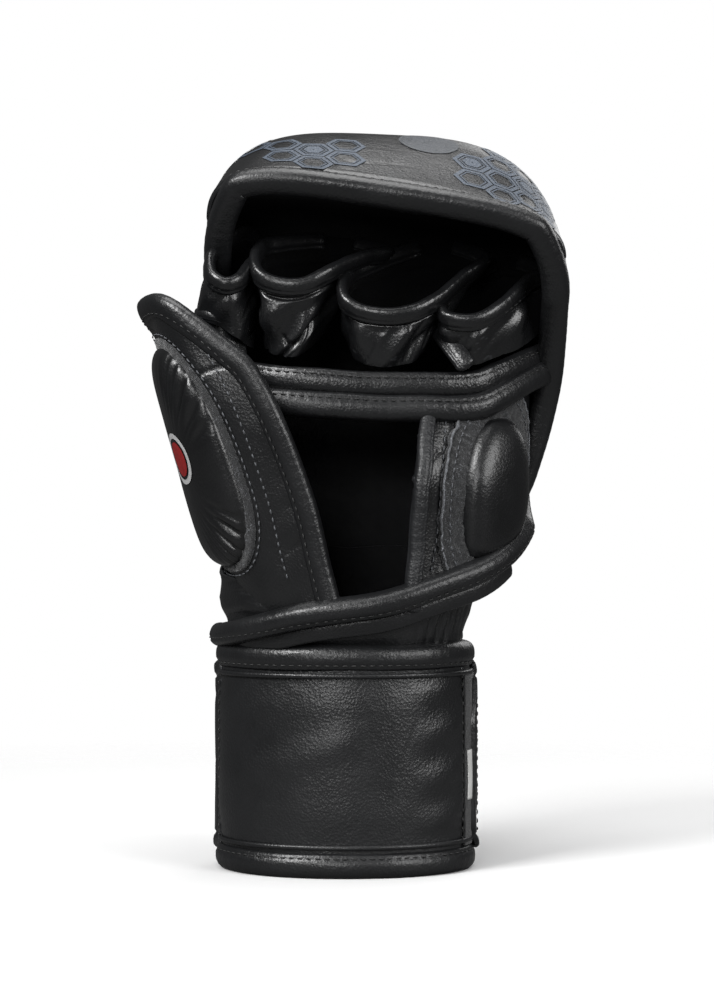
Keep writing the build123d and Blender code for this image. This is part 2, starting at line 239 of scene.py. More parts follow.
def sweep(name, path, section, out, closed=False, wave=0.0):
    """A closed section swept along a path. Its first axis follows out, its second is across the path.

    The ends are rounded off. Wave swells the section a little between stitches.
    """
    ahead = tangents(path, closed)
    out = np.broadcast_to(np.asarray(out, float), path.shape)
    first = unit(out - (out * ahead).sum(1)[:, None] * ahead)
    second = np.cross(ahead, first)
    size = np.ones(len(path))
    if wave:
        far = np.concatenate([[0], np.cumsum(np.linalg.norm(np.diff(path, axis=0), axis=1))])
        size = size + wave * np.sin(far / STITCH_PITCH * 2 * math.pi) + 5 * wave * ripple(path, 12)
    centres = path
    if not closed:
        reach = np.abs(section).max() * 0.5
        cap = np.linspace(0, math.pi / 2, 5)[1:]
        start = [path[0] - ahead[0] * reach * math.sin(a) for a in cap]
        end = [path[-1] + ahead[-1] * reach * math.sin(a) for a in cap]
        shrink = np.maximum(np.cos(cap), 0.02)
        centres = np.concatenate([start[::-1], path, end])
        pad = ((len(cap), len(cap)), (0, 0))
        first, second = np.pad(first, pad, "edge"), np.pad(second, pad, "edge")
        size = np.concatenate([shrink[::-1] * size[0], size, shrink * size[-1]])
    grid = (
        centres[:, None]
        + first[:, None] * (section[None, :, :1] * size[:, None, None])
        + second[:, None] * (section[None, :, 1:] * size[:, None, None])
    )
    if closed:
        grid = looped(grid)
    rows, cols = grid.shape[:2]
    faces = grid_faces(rows, cols, closed=True)
    if not closed:
        faces += [list(range(cols))[::-1], [(rows - 1) * cols + c for c in range(cols)]]
    return mesh_object(name, grid, faces)


def rounded(width, height, power=2.6, count=20):
    """A rounded rectangular section."""
    a = once_round(count)
    c, s = np.cos(a), np.sin(a)
    x = np.sign(c) * np.abs(c) ** (2 / power) * width / 2
    y = np.sign(s) * np.abs(s) ** (2 / power) * height / 2
    return np.stack([x, y], 1)


def bound(width, height, lip=0.35):
    """The section of a bound edge: rounded at the free side, with a stitched groove near the other."""
    flat = rounded(width, height, 2.5, 36)
    groove = hill(flat[:, 0] / width * 2, -0.52, 0.14)
    flat[:, 1] *= 1 - lip * groove * np.sign(np.abs(flat[:, 1]))
    return flat


def stitches(name, path, normal, pitch=3.0, length=2.0, radius=0.26):
    """Short pieces of thread lying along a path on a surface."""
    far = np.linalg.norm(np.diff(path, axis=0), axis=1).sum()
    count = max(2, int(far / pitch))
    dense = even(np.hstack([path, np.broadcast_to(normal, path.shape)]), count)
    spots, up = dense[:, :3], unit(dense[:, 3:])
    ahead = tangents(spots)
    side = np.cross(ahead, up)
    rings = np.linspace(-1, 1, 5)
    turn = once_round(6)
    points, faces = [], []
    for centre, t, n, s in zip(spots, ahead, up, side):
        base = len(points)
        for along in rings:
            swell = radius * math.sqrt(max(0.08, 1 - abs(along) ** 2.5))
            sink = -radius * 0.9 * along**4
            for a in turn:
                points.append(centre + t * along * length / 2 + n * (math.sin(a) * swell + sink)
                              + s * math.cos(a) * swell)
        for r in range(len(rings) - 1):
            low, high = base + r * 6, base + (r + 1) * 6
            for k in range(6):
                after = (k + 1) % 6
                faces.append((low + k, low + after, high + after, high + k))
        faces.append(tuple(base + k for k in range(5, -1, -1)))
        faces.append(tuple(base + (len(rings) - 1) * 6 + k for k in range(6)))
    return mesh_object(name, points, faces)


def dress(obj, body, material, slot, *nodes, inside=None):
    """Gives a finished piece its material, hides the nodes it stands for and parents it to its body; a piece
    given two bodies stays where it is and follows neither.
    """
    obj.data.materials.append(material)
    if inside:
        obj.data.materials.append(inside)
        obj.modifiers["thickness"].material_offset = 1
    if nodes:
        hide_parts(*nodes)
    if isinstance(body, str):
        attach(obj, body)
    else:
        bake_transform(obj)
    return obj


def sew(name, line, up, body, material, slot, *sizes):
    """A finished row of stitches. Sizes are the pitch, length and radius that stitches() takes."""
    return dress(stitches(name, line, up, *sizes), body, material, slot)


# ---------------------------------------------------------------- materials
class Nodes:
    """A material's node tree, with one call per node."""

    def __init__(self, name):
        self.material = bpy.data.materials.new(name)
        self.material.use_nodes = True
        self.tree = self.material.node_tree
        self.shader = self.tree.nodes["Principled BSDF"]
        self.place = self.add("ShaderNodeTexCoord").outputs["Object"]

    def add(self, kind, **values):
        node = self.tree.nodes.new(kind)
        for key, value in values.items():
            if hasattr(node, key):
                setattr(node, key, value)
            else:
                self.give(node.inputs[key], value)
        return node

    def give(self, socket, value):
        if isinstance(value, bpy.types.NodeSocket):
            self.tree.links.new(value, socket)
        else:
            socket.default_value = value

    def set(self, name, value):
        self.give(self.shader.inputs[name], value)

    def noise(self, scale, detail=3.0, rough=0.55, distortion=0.0):
        return self.add("ShaderNodeTexNoise", Vector=self.place, Scale=scale, Detail=detail, Roughness=rough,
                        Distortion=distortion).outputs["Fac"]

    def cells(self, scale):
        return self.add("ShaderNodeTexVoronoi", Vector=self.place, Scale=scale).outputs["Distance"]

    def span(self, value, low, high, out_low=0.0, out_high=1.0):
        node = self.add("ShaderNodeMapRange")
        for socket, v in zip(node.inputs[:5], (value, low, high, out_low, out_high)):
            self.give(socket, v)
        return node.outputs[0]

    def mix(self, share, a, b):
        node = self.add("ShaderNodeMix", data_type="RGBA")
        self.give(node.inputs[0], share)
        self.give(node.inputs[6], a)
        self.give(node.inputs[7], b)
        return node.outputs[2]

    def bump(self, height, distance, strength=1.0, under=None):
        node = self.add("ShaderNodeBump", Height=height, Distance=distance, Strength=strength)
        if under is not None:
            self.give(node.inputs["Normal"], under)
        return node.outputs["Normal"]

    def math(self, kind, a, b=0.0):
        node = self.add("ShaderNodeMath", operation=kind)
        self.give(node.inputs[0], a)
        self.give(node.inputs[1], b)
        return node.outputs[0]


def colour(level, tint=(1.0, 1.0, 1.0)):
    return (*[level * t for t in tint], 1.0)


COOL = (0.96, 1.0, 1.09)


def leather(name, level=0.008, rough=0.36, grain=0.5, wear=0.035, coat=0.12):
    """Black pebbled leather: fine cells, shallow creases, cloudy gloss and paler worn edges."""
    n = Nodes(name)
    cloudy = n.noise(45, 4, 0.6)
    fine = n.noise(900, 2)
    edge = n.add("ShaderNodeNewGeometry").outputs["Pointiness"]
    worn = n.math("MULTIPLY", n.span(edge, 0.53, 0.62), n.span(cloudy, 0.35, 0.7))
    base = n.mix(cloudy, colour(level * 0.75, COOL), colour(level * 1.5, COOL))
    n.set("Base Color", n.mix(n.math("MULTIPLY", worn, 0.8), base, colour(wear, COOL)))
    n.set("Roughness", n.span(cloudy, 0.25, 0.75, rough - 0.07, rough + 0.10))
    n.set("Coat Weight", coat)
    n.set("Coat Roughness", 0.28)
    pebble = n.bump(n.cells(1150), 0.00022, grain)
    pore = n.bump(fine, 0.0001, 0.5, pebble)
    n.set("Normal", n.bump(n.noise(160, 5, 0.65), 0.0007, 0.35, pore))
    return n.material


def cloth(name, level, pitch=0.0011, tint=COOL, rough=0.85, shine=0.2):
    """Woven fabric: two crossed sets of threads, with fuzz between them."""
    n = Nodes(name)
    waves = []
    for axis in ("X", "Z"):
        wave = n.add("ShaderNodeTexWave", wave_type="BANDS", bands_direction=axis, Vector=n.place,
                     Scale=1 / (pitch * 20), Distortion=0.4)
        waves.append(wave.outputs["Fac"])
    weave = n.math("MAXIMUM", waves[0], waves[1])
    patch = n.noise(60, 4)
    n.set("Base Color", n.mix(patch, colour(level * 0.7, tint), colour(level * 1.35, tint)))
    n.set("Roughness", n.span(patch, 0.3, 0.7, rough - 0.08, rough + 0.08))
    n.set("Specular IOR Level", shine)
    n.set("Sheen Weight", shine * 0.3)
    n.set("Normal", n.bump(n.noise(1500, 2), 0.0002, 0.5, n.bump(weave, 0.0003, 0.8)))
    return n.material


def pile(name, level=0.02, fleck=0.25, amount=0.62, tint=COOL):
    """Fuzzy suede or hook-and-loop pile, with pale flecks of loose fibre."""
    n = Nodes(name)
    fibre = n.noise(1400, 5, 0.75, 1.5)
    clump = n.noise(320, 4, 0.7, 0.6)
    spots = n.math("MULTIPLY", n.span(fibre, amount, amount + 0.1), n.span(clump, 0.42, 0.6))
    n.set("Base Color", n.mix(spots, colour(level, tint), colour(fleck, tint)))
    n.set("Roughness", n.span(clump, 0.3, 0.7, 0.82, 0.98))
    n.set("Sheen Weight", 0.35)
    n.set("Normal", n.bump(clump, 0.0006, 0.9, n.bump(fibre, 0.0004, 0.9)))
    return n.material


def thread(name, level, tint=(1.0, 1.0, 1.0)):
    n = Nodes(name)
    strand = n.add("ShaderNodeTexWave", bands_direction="DIAGONAL", Vector=n.place, Scale=420).outputs["Fac"]
    n.set("Base Color", n.mix(strand, colour(level * 0.5, tint), colour(level, tint)))
    n.set("Roughness", n.span(strand, 0, 1, 0.7, 0.5))
    n.set("Normal", n.bump(strand, 0.0001, 0.7))
    return n.material


def ink(name, level, tint):
    """Printed ink on leather: slightly broken by the grain under it."""
    n = Nodes(name)
    fade = n.noise(260, 4, 0.7)
    n.set("Base Color", n.mix(fade, colour(level * 0.55, tint), colour(level * 1.2, tint)))
    n.set("Roughness", n.span(fade, 0.3, 0.7, 0.38, 0.55))
    n.set("Normal", n.bump(n.cells(1150), 0.0002, 0.5))
    return n.material


LEATHER = leather("black_leather")
PAD_LEATHER = leather("smooth_black_leather", level=0.006, rough=0.31, grain=0.28, coat=0.2)
SOFT_LEATHER = leather("soft_black_leather", level=0.007, rough=0.32, grain=0.45, wear=0.06, coat=0.2)
TAPE_LEATHER = leather("edge_binding_leather", level=0.008, rough=0.36, grain=0.35, wear=0.05, coat=0.08)
LOOP_LEATHER = leather("creased_loop_leather", level=0.006, rough=0.28, grain=0.3, wear=0.05, coat=0.3)
GLOSS_LEATHER = leather("glossy_strap_leather", level=0.009, rough=0.2, grain=0.12, coat=0.5)
LINING = cloth("dark_lining", 0.007)
# Black cloth, set darker than the other lining as painted shade inside the finger loops.
LOOP_LINING_PAINTED_SHADE = cloth("loop_lining_painted_shade", 0.002, shine=0.05)
THUMB_LINING = cloth("grey_blue_lining", 0.03, tint=(0.85, 0.98, 1.25))
HEEL_TAPE = leather("worn_binding_leather", level=0.014, rough=0.42, grain=0.7, wear=0.14, coat=0.05)
SUEDE = pile("fuzzy_suede", 0.014, 0.34, 0.56)
CUT_SUEDE = pile("cut_suede_edge", 0.09, 0.5, 0.5)
LOOP_PILE = pile("loop_pile", 0.010, 0.05, 0.55)
BLACK_THREAD = thread("black_thread", 0.03)
GREY_THREAD = thread("grey_thread", 0.13, COOL)
WHITE_THREAD = thread("white_thread", 0.65)
HEX_INK = ink("blue_grey_ink", 0.085, (0.70, 0.90, 1.22))
DISC_INK = ink("grey_ink", 0.055, (0.9, 1.0, 1.15))


# ---------------------------------------------------------------- cuff and strap
def cuff_point(angle, z, out):
    """Points on the cuff's outside at polar angles in degrees, moved outwards by a margin."""
    a = np.radians(angle)
    return np.stack(np.broadcast_arrays((CUFF_A + out) * np.cos(a), (CUFF_B + out) * np.sin(a), z), -1)


def cuff_skin(name, start, end, *nodes):
    angles = np.linspace(start, end, 150)
    heights = np.linspace(2, CUFF_TOP - 2, 110)
    angle, z = np.meshgrid(angles, heights)
    flat = cuff_point(angle, z, 0)
    edge = np.minimum(z - 9, CUFF_TOP - 9 - z)
    seam = np.minimum(angle - start, end - angle)
    # The back panel lies flatter, because the strap and the loop tape are laid over it.
    palm_side = start > 90
    full = 1.0 if palm_side else 0.3
    out = full * (0.9 * step(0, 14, edge) + 0.45 * ripple(flat, 24, 1)) - 0.9 * (1 - step(0, 2.5, seam))
    fold = hill(z - 38, 0.35 * (flat[..., 0] + 22), 5.5) * step(-44, -30, flat[..., 0])
    out += 0.7 * fold * (1 - step(-5, 14, flat[..., 0]))
    wave = np.sin((z - 14 + 2 * np.sin(flat[..., 0] / 9)) / 15 * 2 * math.pi)
    out += 0.45 * wave * step(18, 34, flat[..., 0]) * step(0, 8, edge) * step(2, 14, end - angle) * palm_side
    out -= 0.35 * creases(flat, 17, 0.05, 2) * step(0, 10, edge)
    grid = cuff_point(angle, z, out)
    dress(sheet(name, grid, 1.4), "cuff", LEATHER, "leather", *nodes)


def cuff_ring(out, z, count=220):
    return cuff_point(np.linspace(0, 360, count, endpoint=False), z, out)


def build_cuff():
    cuff_skin("cuff_palm_leather", 182.4, 338.4, "cuff_palm_panel")
    cuff_skin("cuff_back_leather", -21.2, 182.0, "cuff_back_panel")
    angles = np.linspace(0, 360, 180, endpoint=False)
    angle, z = np.meshgrid(angles, np.linspace(1.5, CUFF_TOP - 1.5, 60))
    inner = cuff_point(angle, z, -CUFF_WALL)
    inner = cuff_point(angle, z, -CUFF_WALL + 0.5 * ripple(inner, 16,
                                                           4) + 0.4 * np.sin(np.radians(angle) * 9))
    dress(sheet("cuff_lining_sleeve", inner, 1.2, closed=True, flip=True), "cuff", LINING, "lining",
          "cuff_lining", "cuff_foam")
    middle = -CUFF_WALL / 2 + 0.2
    for side, z, up in (("bottom", 4.4, -1), ("top", CUFF_TOP - 4.4, 1)):
        path = cuff_ring(middle, z)
        path[:, 2] += 0.5 * ripple(path, 30, 3 + up)
        section = bound(TAPE_HEIGHT, CUFF_WALL + 3.6, 0.10)
        tape = sweep(f"cuff_{side}_edge_tape", path, section, (0, 0, up), True, 0.006)
        dress(tape, "cuff", TAPE_LEATHER, "edge_tape", f"cuff_{side}_binding")
        line = looped(cuff_ring(1.45, z - up * 2.4))
        out = looped(cuff_ring(50, 0) * [1, 1, 0])
        sew(f"cuff_{side}_stitches", line, unit(out), "cuff", BLACK_THREAD, "edge_tape")
        below = cuff_ring(0.7, z - up * 5.9)
        cord = sweep(f"cuff_{side}_piping", below, rounded(1.7, 1.3, 2), (0, 0, up), True)
        dress(cord, "cuff", TAPE_LEATHER, "edge_tape")
    z = np.linspace(11, CUFF_TOP - 11, 60)
    for k, angle in enumerate((184.6, 336.0)):
        line, out = cuff_point(angle, z, 1.0), cuff_point(angle, z * 0, 40)
        sew(f"cuff_seam_stitches_{k}", line, unit(out), "cuff", BLACK_THREAD, "leather")


STRAP_LOW, STRAP_HIGH = box("strap_root_panel")[0][2] - 4, box("strap_root_panel")[1][2] + 3
STRAP_OUT = 3.4
TIP_LOW = box("strap_tip_binding")[0]
SLANT = 15.0


def tip_reach(z):
    """How far round the strap's free end reaches at each height, as Y."""
    low, high = z - STRAP_LOW, STRAP_HIGH - z
    corner = 13 - np.sqrt(np.maximum(0, 13**2 - np.maximum(0, 13 - low) ** 2))
    slant = np.maximum(0, 22 - high) ** 1.3 / 22**1.3 * SLANT
    return TIP_LOW[1] + corner + slant


def strap_angle(share, z, start):
    """Polar angles from a start angle to the strap's shaped end."""
    reach = np.degrees(np.arcsin(np.clip(tip_reach(z) / (CUFF_B + STRAP_OUT), -1, 1)))
    return start + (reach - start) * share


def tuck(angle):
    """How much closer the strap lies to the cuff towards its free end."""
    return 1.1 * (1 - step(-8, 12, angle))


def padded_edge(edge, groove=1.0):
    """The profile of the strap by its distance from an edge: a roll, a stitched groove and a round rim."""
    return 0.5 * hill(edge, 2.6, 2.4) - 0.9 * hill(edge, 5.6, 0.5) * groove - 1.4 * (1 - step(0, 1.2, edge))


def strap_grid(angle, z):
    """The strap's surface: leather with padded edges that follow its outline."""
    edge = np.minimum(z - STRAP_LOW, STRAP_HIGH - z)
    flat = cuff_point(angle, z, STRAP_OUT)
    root = 2.6 * (1 - step(0, 14, 184 - angle))
    out = STRAP_OUT - 0.3 - root - tuck(angle) + 0.35 * ripple(flat, 22, 6)
    out -= 0.3 * creases(flat, 20, 0.06, 7) * step(0, 8, edge)
    out += padded_edge(edge)
    return cuff_point(angle, z, out)


def build_strap():
    heights = np.linspace(STRAP_LOW, STRAP_HIGH, 90)

    def bend_at(angle, a, b):
        """The two bodies either side of a joint at a polar angle, and a point on each side of it."""
        before, after = cuff_point(angle + 4, 39, STRAP_OUT), cuff_point(angle - 4, 39, STRAP_OUT)
        return (a, b, before, after)

    root_bend = bend_at(178, "cuff", "strap_root")
    middle_bend = bend_at(125.2, "strap_root", "strap_middle")
    tip_bend = bend_at(55.2, "strap_middle", "strap_tip")
    lengths = (
        ("strap_root_leather", 184, 151, root_bend, ["strap_root_panel"]),
        ("strap_middle_leather", 151, 90, middle_bend, ["strap_middle_panel"]),
        ("strap_turn_leather", 90, 44, tip_bend, []),
    )
    for name, start, end, body, nodes in lengths:
        angle, z = np.meshgrid(np.linspace(start, end, 70), heights)
        dress(sheet(name, strap_grid(angle, z), 1.8, flip=True), body, SOFT_LEATHER, "leather", *nodes)
    share, z = np.meshgrid(np.linspace(0, 1, 110), heights)
    angle = strap_angle(share, z, 44)
    flat = strap_grid(angle, z)
    end_edge = (1 - share) * 40
    rim = np.minimum(np.minimum(z - STRAP_LOW, STRAP_HIGH - z), end_edge)
    out = padded_edge(end_edge, step(3, 6, rim))
    dress(sheet("strap_tip_leather", puff(flat, -out), 1.8, flip=True), "strap_tip", SOFT_LEATHER, "leather",
          "strap_tip_panel", "strap_tip_binding")
    # Stitching round the bound edge of the strap's free end.
    inset = 6.6
    low = np.linspace(40, -2, 40)
    zs = np.linspace(STRAP_LOW + inset, STRAP_HIGH - inset, 60)
    bottom = cuff_point(low, STRAP_LOW + inset, STRAP_OUT + 0.1 - tuck(low))
    keep_low = bottom[:, 1] > tip_reach(np.array(STRAP_LOW + inset)) + inset
    end = np.degrees(np.arcsin((tip_reach(zs) + inset) / (CUFF_B + STRAP_OUT)))
    tip_line = cuff_point(end, zs, STRAP_OUT + 0.1 - tuck(end))
    top_angle = np.linspace(end[-1], 40, 30)
    top = cuff_point(top_angle, STRAP_HIGH - inset, STRAP_OUT + 0.1 - tuck(top_angle))
    line = np.concatenate([bottom[keep_low], tip_line, top])
    sew("strap_tip_stitches", line, unit(line * [1, 1, 0]), "strap_tip", BLACK_THREAD, "edge_tape")
    # Fasteners, label and tag.
    angle, z = net((-21, 50, 60), (STRAP_LOW + 3, STRAP_HIGH - 3, 50))
    fuzz = ripple(cuff_point(angle, z, 0.9), 3, 2)
    loops = sheet("loop_tape_pile", cuff_point(angle, z, 0.95 + 0.2 * fuzz), 0.7)
    dress(loops, "cuff", LOOP_PILE, "loop_pile", "loop_tape")
    angle, z = net((8, 46, 50), (STRAP_LOW + 12, STRAP_HIGH - 20, 40))
    fuzz = ripple(cuff_point(angle, z, 1.4), 2.2, 5)
    hooks = sheet("hook_tape_pad", cuff_point(angle, z, 1.75 + 0.15 * fuzz), 0.6)
    dress(hooks, "strap_tip", LOOP_PILE, "hook", "hook_tape")
    build_label()
    build_tag()


def plate(name, u0, u1, v0, v1, out, corner, thick, body, material, slot, *nodes):
    """A flat patch with round corners lying on the cuff between two polar angles and two heights."""
    s, t = net((-1, 1, 60), (-1, 1, 60))
    width = math.radians(u1 - u0) * CUFF_B
    height = v1 - v0
    x, y = s * width / 2, t * height / 2
    over_x, over_y = np.abs(x) - (width / 2 - corner), np.abs(y) - (height / 2 - corner)
    both = (over_x > 0) & (over_y > 0)
    far = np.hypot(np.maximum(over_x, 0), np.maximum(over_y, 0))
    pull = np.where(both & (far > corner), corner / np.maximum(far, 1e-6), 1)
    x = np.where(both, np.sign(x) * (width / 2 - corner + over_x * pull), x)
    y = np.where(both, np.sign(y) * (height / 2 - corner + over_y * pull), y)
    angle = (u0 + u1) / 2 + x / width * (u1 - u0)
    z = (v0 + v1) / 2 + y
    return dress(sheet(name, cuff_point(angle, z, out), thick), body, material, slot, *nodes)


def frame_line(u0, u1, v0, v1, out, corner):
    """A closed path of points round a rounded rectangle on the cuff."""
    width = math.radians(u1 - u0) * CUFF_B
    points = []
    for cx, cy, a0 in ((1, 1, 0), (-1, 1, 90), (-1, -1, 180), (1, -1, 270)):
        for a in np.radians(np.linspace(a0, a0 + 90, 10)):
            points.append((cx * (width / 2 - corner) + corner * math.cos(a),
                           cy * ((v1 - v0) / 2 - corner) + corner * math.sin(a)))
    flat = even(points, 160, closed=True)
    return cuff_point((u0 + u1) / 2 + flat[:, 0] / width * (u1 - u0), (v0 + v1) / 2 + flat[:, 1], out)


def build_label():
    """The wrist patch: satin black with a pale border line and a plain red lozenge."""
    low, high = box("wrist_label")[0][2], box("wrist_label")[1][2]
    top = STRAP_OUT + 0.75
    satin = leather("satin_patch", level=0.012, rough=0.5, grain=0.1, coat=0.0)
    plate("wrist_label_patch", 12, 52, low, high, top, 4, 0.5, "strap_tip", satin, "label", "wrist_label")
    border = frame_line(14.5, 49.5, low + 2.2, high - 2.2, top + 0.12, 3.5)
    pale = ink("pale_border_ink", 0.42, (1.0, 1.0, 1.02))
    line = sweep("wrist_label_border", border, rounded(0.9, 0.35, 2), (0, 0, 1), True)
    dress(line, "strap_tip", pale, "label")
    s, t = net((-1, 1, 20), (-1, 1, 20))
    angle = 32 + (s + t) * 4.5
    z = (low + high) / 2 + (t - s) * 4.5
    red = ink("red_ink", 0.3, (1.0, 0.06, 0.05))
    dress(sheet("wrist_label_lozenge", cuff_point(angle, z, top + 0.15), 0.2), "strap_tip", red, "label")
    edge = frame_line(12.8, 51.2, low + 0.9, high - 0.9, top + 0.1, 4)
    edge = looped(edge)
    sew("wrist_label_stitches", edge, unit(edge * [1, 1, 0]), "strap_tip", BLACK_THREAD, "label", 2.6, 1.8,
        0.25)


def build_tag():
    white = cloth("white_woven_tag", 0.72, pitch=0.0006, tint=(1, 1, 0.98), rough=0.7)
    low, high = box("size_tag")
    s, t = net((-18.3, -8.5, 20), (low[2] - 1, high[2] + 1, 24))
    lift = 1.35 + 0.15 * np.cos(t / 5)
    dress(sheet("size_tag_ribbon", cuff_point(s, t, lift), 0.3), "cuff", white, "tag", "size_tag")


# ---------------------------------------------------------------- knuckle pad
WRIST_BEND = ("cuff", "hand", (0, 0, 74), (0, 0, 94))


def pad_half(v):
    """Half of the pad's width, which narrows towards the wrist."""
    return PAD_HALF * (1 - 0.2 * np.maximum(0, 1 - np.asarray(v) / 3.2) ** 2)


def pad_x(u, v):
    """X of the place a share u across the pad."""
    return PAD_CENTRE - 5 * (1 - step(0, 2.5, v)) + pad_half(v) * u


def pad_surface(u, v, inner=False):
    """Points of the pad's outer or inner face. u is -1 to 1 across, v counts stations from the wrist."""
    crown = station(PAD_INNER if inner else PAD_CROWN, v).copy()
    crown[..., 1] -= RIM_LEAN * u * step(RIM - 1.5, RIM, v)
    edge = np.where((u < 0)[..., None], station(THUMB_EDGE, v), station(LITTLE_EDGE, v))
    if inner:
        edge = edge + unit(HAND_CORE - edge) * PAD_EDGE
        rise = np.maximum(0, 1 - np.abs(u) ** 6) ** 0.5
    else:
        power = 2.2 + 1.2 * step(0, 1.5, v)
        rise = np.maximum(0, 1 - np.abs(u) ** power) ** (1 / 2.4)
    yz = edge + (crown - edge) * rise[..., None]
    return np.stack([pad_x(u, v), yz[..., 0], yz[..., 1]], -1)


def nearest_on(curve, grid):
    """Distance along a curve to the place nearest each point of a grid, and the distance to it."""
    line = even(station(curve, np.linspace(0, len(curve) - 1, 300)), 300)
    step_length = np.linalg.norm(line[1] - line[0])
    along, far = np.empty(grid.shape[:2]), np.empty(grid.shape[:2])
    for row, points in enumerate(grid[..., 1:]):
        gaps = np.linalg.norm(points[:, None] - line[None], axis=-1)
        along[row] = gaps.argmin(1) * step_length
        far[row] = gaps.min(1)
    return along, far


def pleats(along, far, seed):
    """Depth of the pleats gathered into the bound edge: deep beside it, and each with its own length."""
    spread = np.random.default_rng(seed).uniform(0.25, 1.0, 80)
    at = along / 4.3 + 0.35 * np.sin(along / 9 + seed) + 0.10 * np.sin(far / 7 + along)
    which = np.floor(at).astype(int)
    deep, reach = spread[which % 80], 9 + 22 * spread[(which * 7 + 3) % 80]
    valley = 1 - np.abs(np.sin(math.pi * at)) ** 0.6
    where = step(34, 52, along) * (1 - step(138, 156, along))
    return 2.5 * deep * valley * np.exp(-((far / reach) ** 2)) * where


def build_pad_cover():
    turn = np.linspace(0, math.pi, 170)
    c = np.cos(turn)
    across = np.sign(c) * np.abs(c) ** (2 / 3.4)
    along = np.concatenate([np.linspace(0, 1.1, 50, endpoint=False), np.linspace(1.1, RIM, 330)])
    u, v = np.meshgrid(across, along)
    grid = pad_surface(u, v)
    rim = (RIM - v) * 48
    left, right = nearest_on(THUMB_EDGE, grid), nearest_on(LITTLE_EDGE, grid)
    side = step(0.62, 0.9, np.abs(u))
    depth = np.where(u < 0, pleats(*left, 4), pleats(*right, 9)) * side
    near_edge = np.exp(-np.minimum(left[1], right[1]) / 25)
    depth += 0.4 * creases(grid, 13, 0.06, 3) * near_edge * step(0.2, 1.0, v)
    depth += 0.8 * (1 - step(0, 4, rim))
    grid = puff(grid, 0.4 * ripple(grid, 34, 5) - depth)
    cover = sheet("knuckle_pad_leather", grid, 1.2)
    dress(cover, "hand", PAD_LEATHER, "leather", "knuckle_pad_cover", "knuckle_pad_foam")


def build_pad_inside():
    u, v = np.meshgrid(np.sin(np.linspace(-math.pi / 2, math.pi / 2, 90)), np.linspace(0, RIM, 120))
    grid = pad_surface(u, v, inner=True)
    grid = puff(grid, 0.5 * ripple(grid, 14, 8) + 0.5 * creases(grid, 22, 0.08, 9))
    dress(sheet("hand_lining_fabric", grid, 1.0, flip=True), "hand", LINING, "lining", "hand_lining")


def pad_edge_path():
    """Centre of the pad's bound edge, with the direction from the pad to its free side."""
    points, out = [], []

    def side(edge, stations, sign):
        for v in stations:
            e = station(edge, v)
            toward = unit(HAND_CORE - e)
            middle = e + toward * (PAD_EDGE + 1.0)
            points.append((pad_x(sign, v) - sign * (EDGE_ROLL - 0.8), middle[0], middle[1]))
            out.append((0, toward[0], toward[1]))

    side(THUMB_EDGE, np.linspace(0, RIM - 0.25, 60), -1)
    for u in np.linspace(-0.93, 0.93, 70):
        outer, inner = (pad_surface(np.array(u), np.array(float(RIM)), face) for face in (False, True))
        x = PAD_CENTRE + (PAD_HALF - EDGE_ROLL + 0.8) * u / 0.95
        points.append((x, *((outer + inner) / 2)[1:] + [-0.8, -0.4]))
        out.append((0, -0.8, -0.6))
    side(LITTLE_EDGE, np.linspace(RIM - 0.25, 0.4, 60), 1)
    return np.array(points), np.array(out, float)


def smoothed(rows, reach):
    """Rows averaged with their neighbours on both sides."""
    padded = np.pad(rows, ((reach, reach), (0, 0)), "edge")
    kernel = np.ones(2 * reach + 1) / (2 * reach + 1)
    return np.stack([np.convolve(padded[:, k], kernel, "valid") for k in range(rows.shape[1])], 1)


def build_pad_edge():
    points, out = pad_edge_path()
    band = smooth_path(LOWER_BAND, 90)
    band_out = unit(np.stack([-band[:, 0] * 0.2, np.full(90, -8.0), np.full(90, 26.0)], 1))
    both = np.hstack([np.concatenate([points, band]), np.concatenate([out, band_out])])
    both = even(smoothed(both, 4), 640)
    path, out = both[:, :3], unit(both[:, 3:])
    tape = sweep("pad_edge_tape", path, bound(8.4, 9.4, 0.12), out, wave=0.006)
    dress(tape, WRIST_BEND, TAPE_LEATHER, "edge_tape", "pad_edge_binding", "palm_lower_binding")
    across = unit(np.cross(tangents(path), out))
    for k, sign in enumerate((-1, 1)):
        line = path + across * sign * 4.1 - out * 2.1
        sew(f"pad_edge_stitches_{k}", line, across * sign, WRIST_BEND, BLACK_THREAD, "edge_tape")
    # The roll that closes the pad's wrist end across the back.
    u = np.linspace(-1, 1, 60)
    back = (pad_surface(u, u * 0) + pad_surface(u, u * 0, True)) / 2
    back[:, 0] = pad_x(0.93 * u, 0.0)
    roll = sweep("pad_wrist_edge_tape", even(back, 160), bound(7, 9, 0.1), (0, -0.2, -1), wave=0.006)
    dress(roll, "hand", TAPE_LEATHER, "edge_tape")
    # A flatter second tape under the palm's lower band.
    low = band[12:] + [0, 1.8, -6.6]
    low[:, 2] = np.maximum(low[:, 2], CUFF_TOP + 1.5)
    strip = sweep("palm_lower_tape", even(low, 160), bound(6.0, 2.6, 0.1), (0, -0.25, 1), wave=0.006)
    dress(strip, WRIST_BEND, TAPE_LEATHER, "edge_tape")


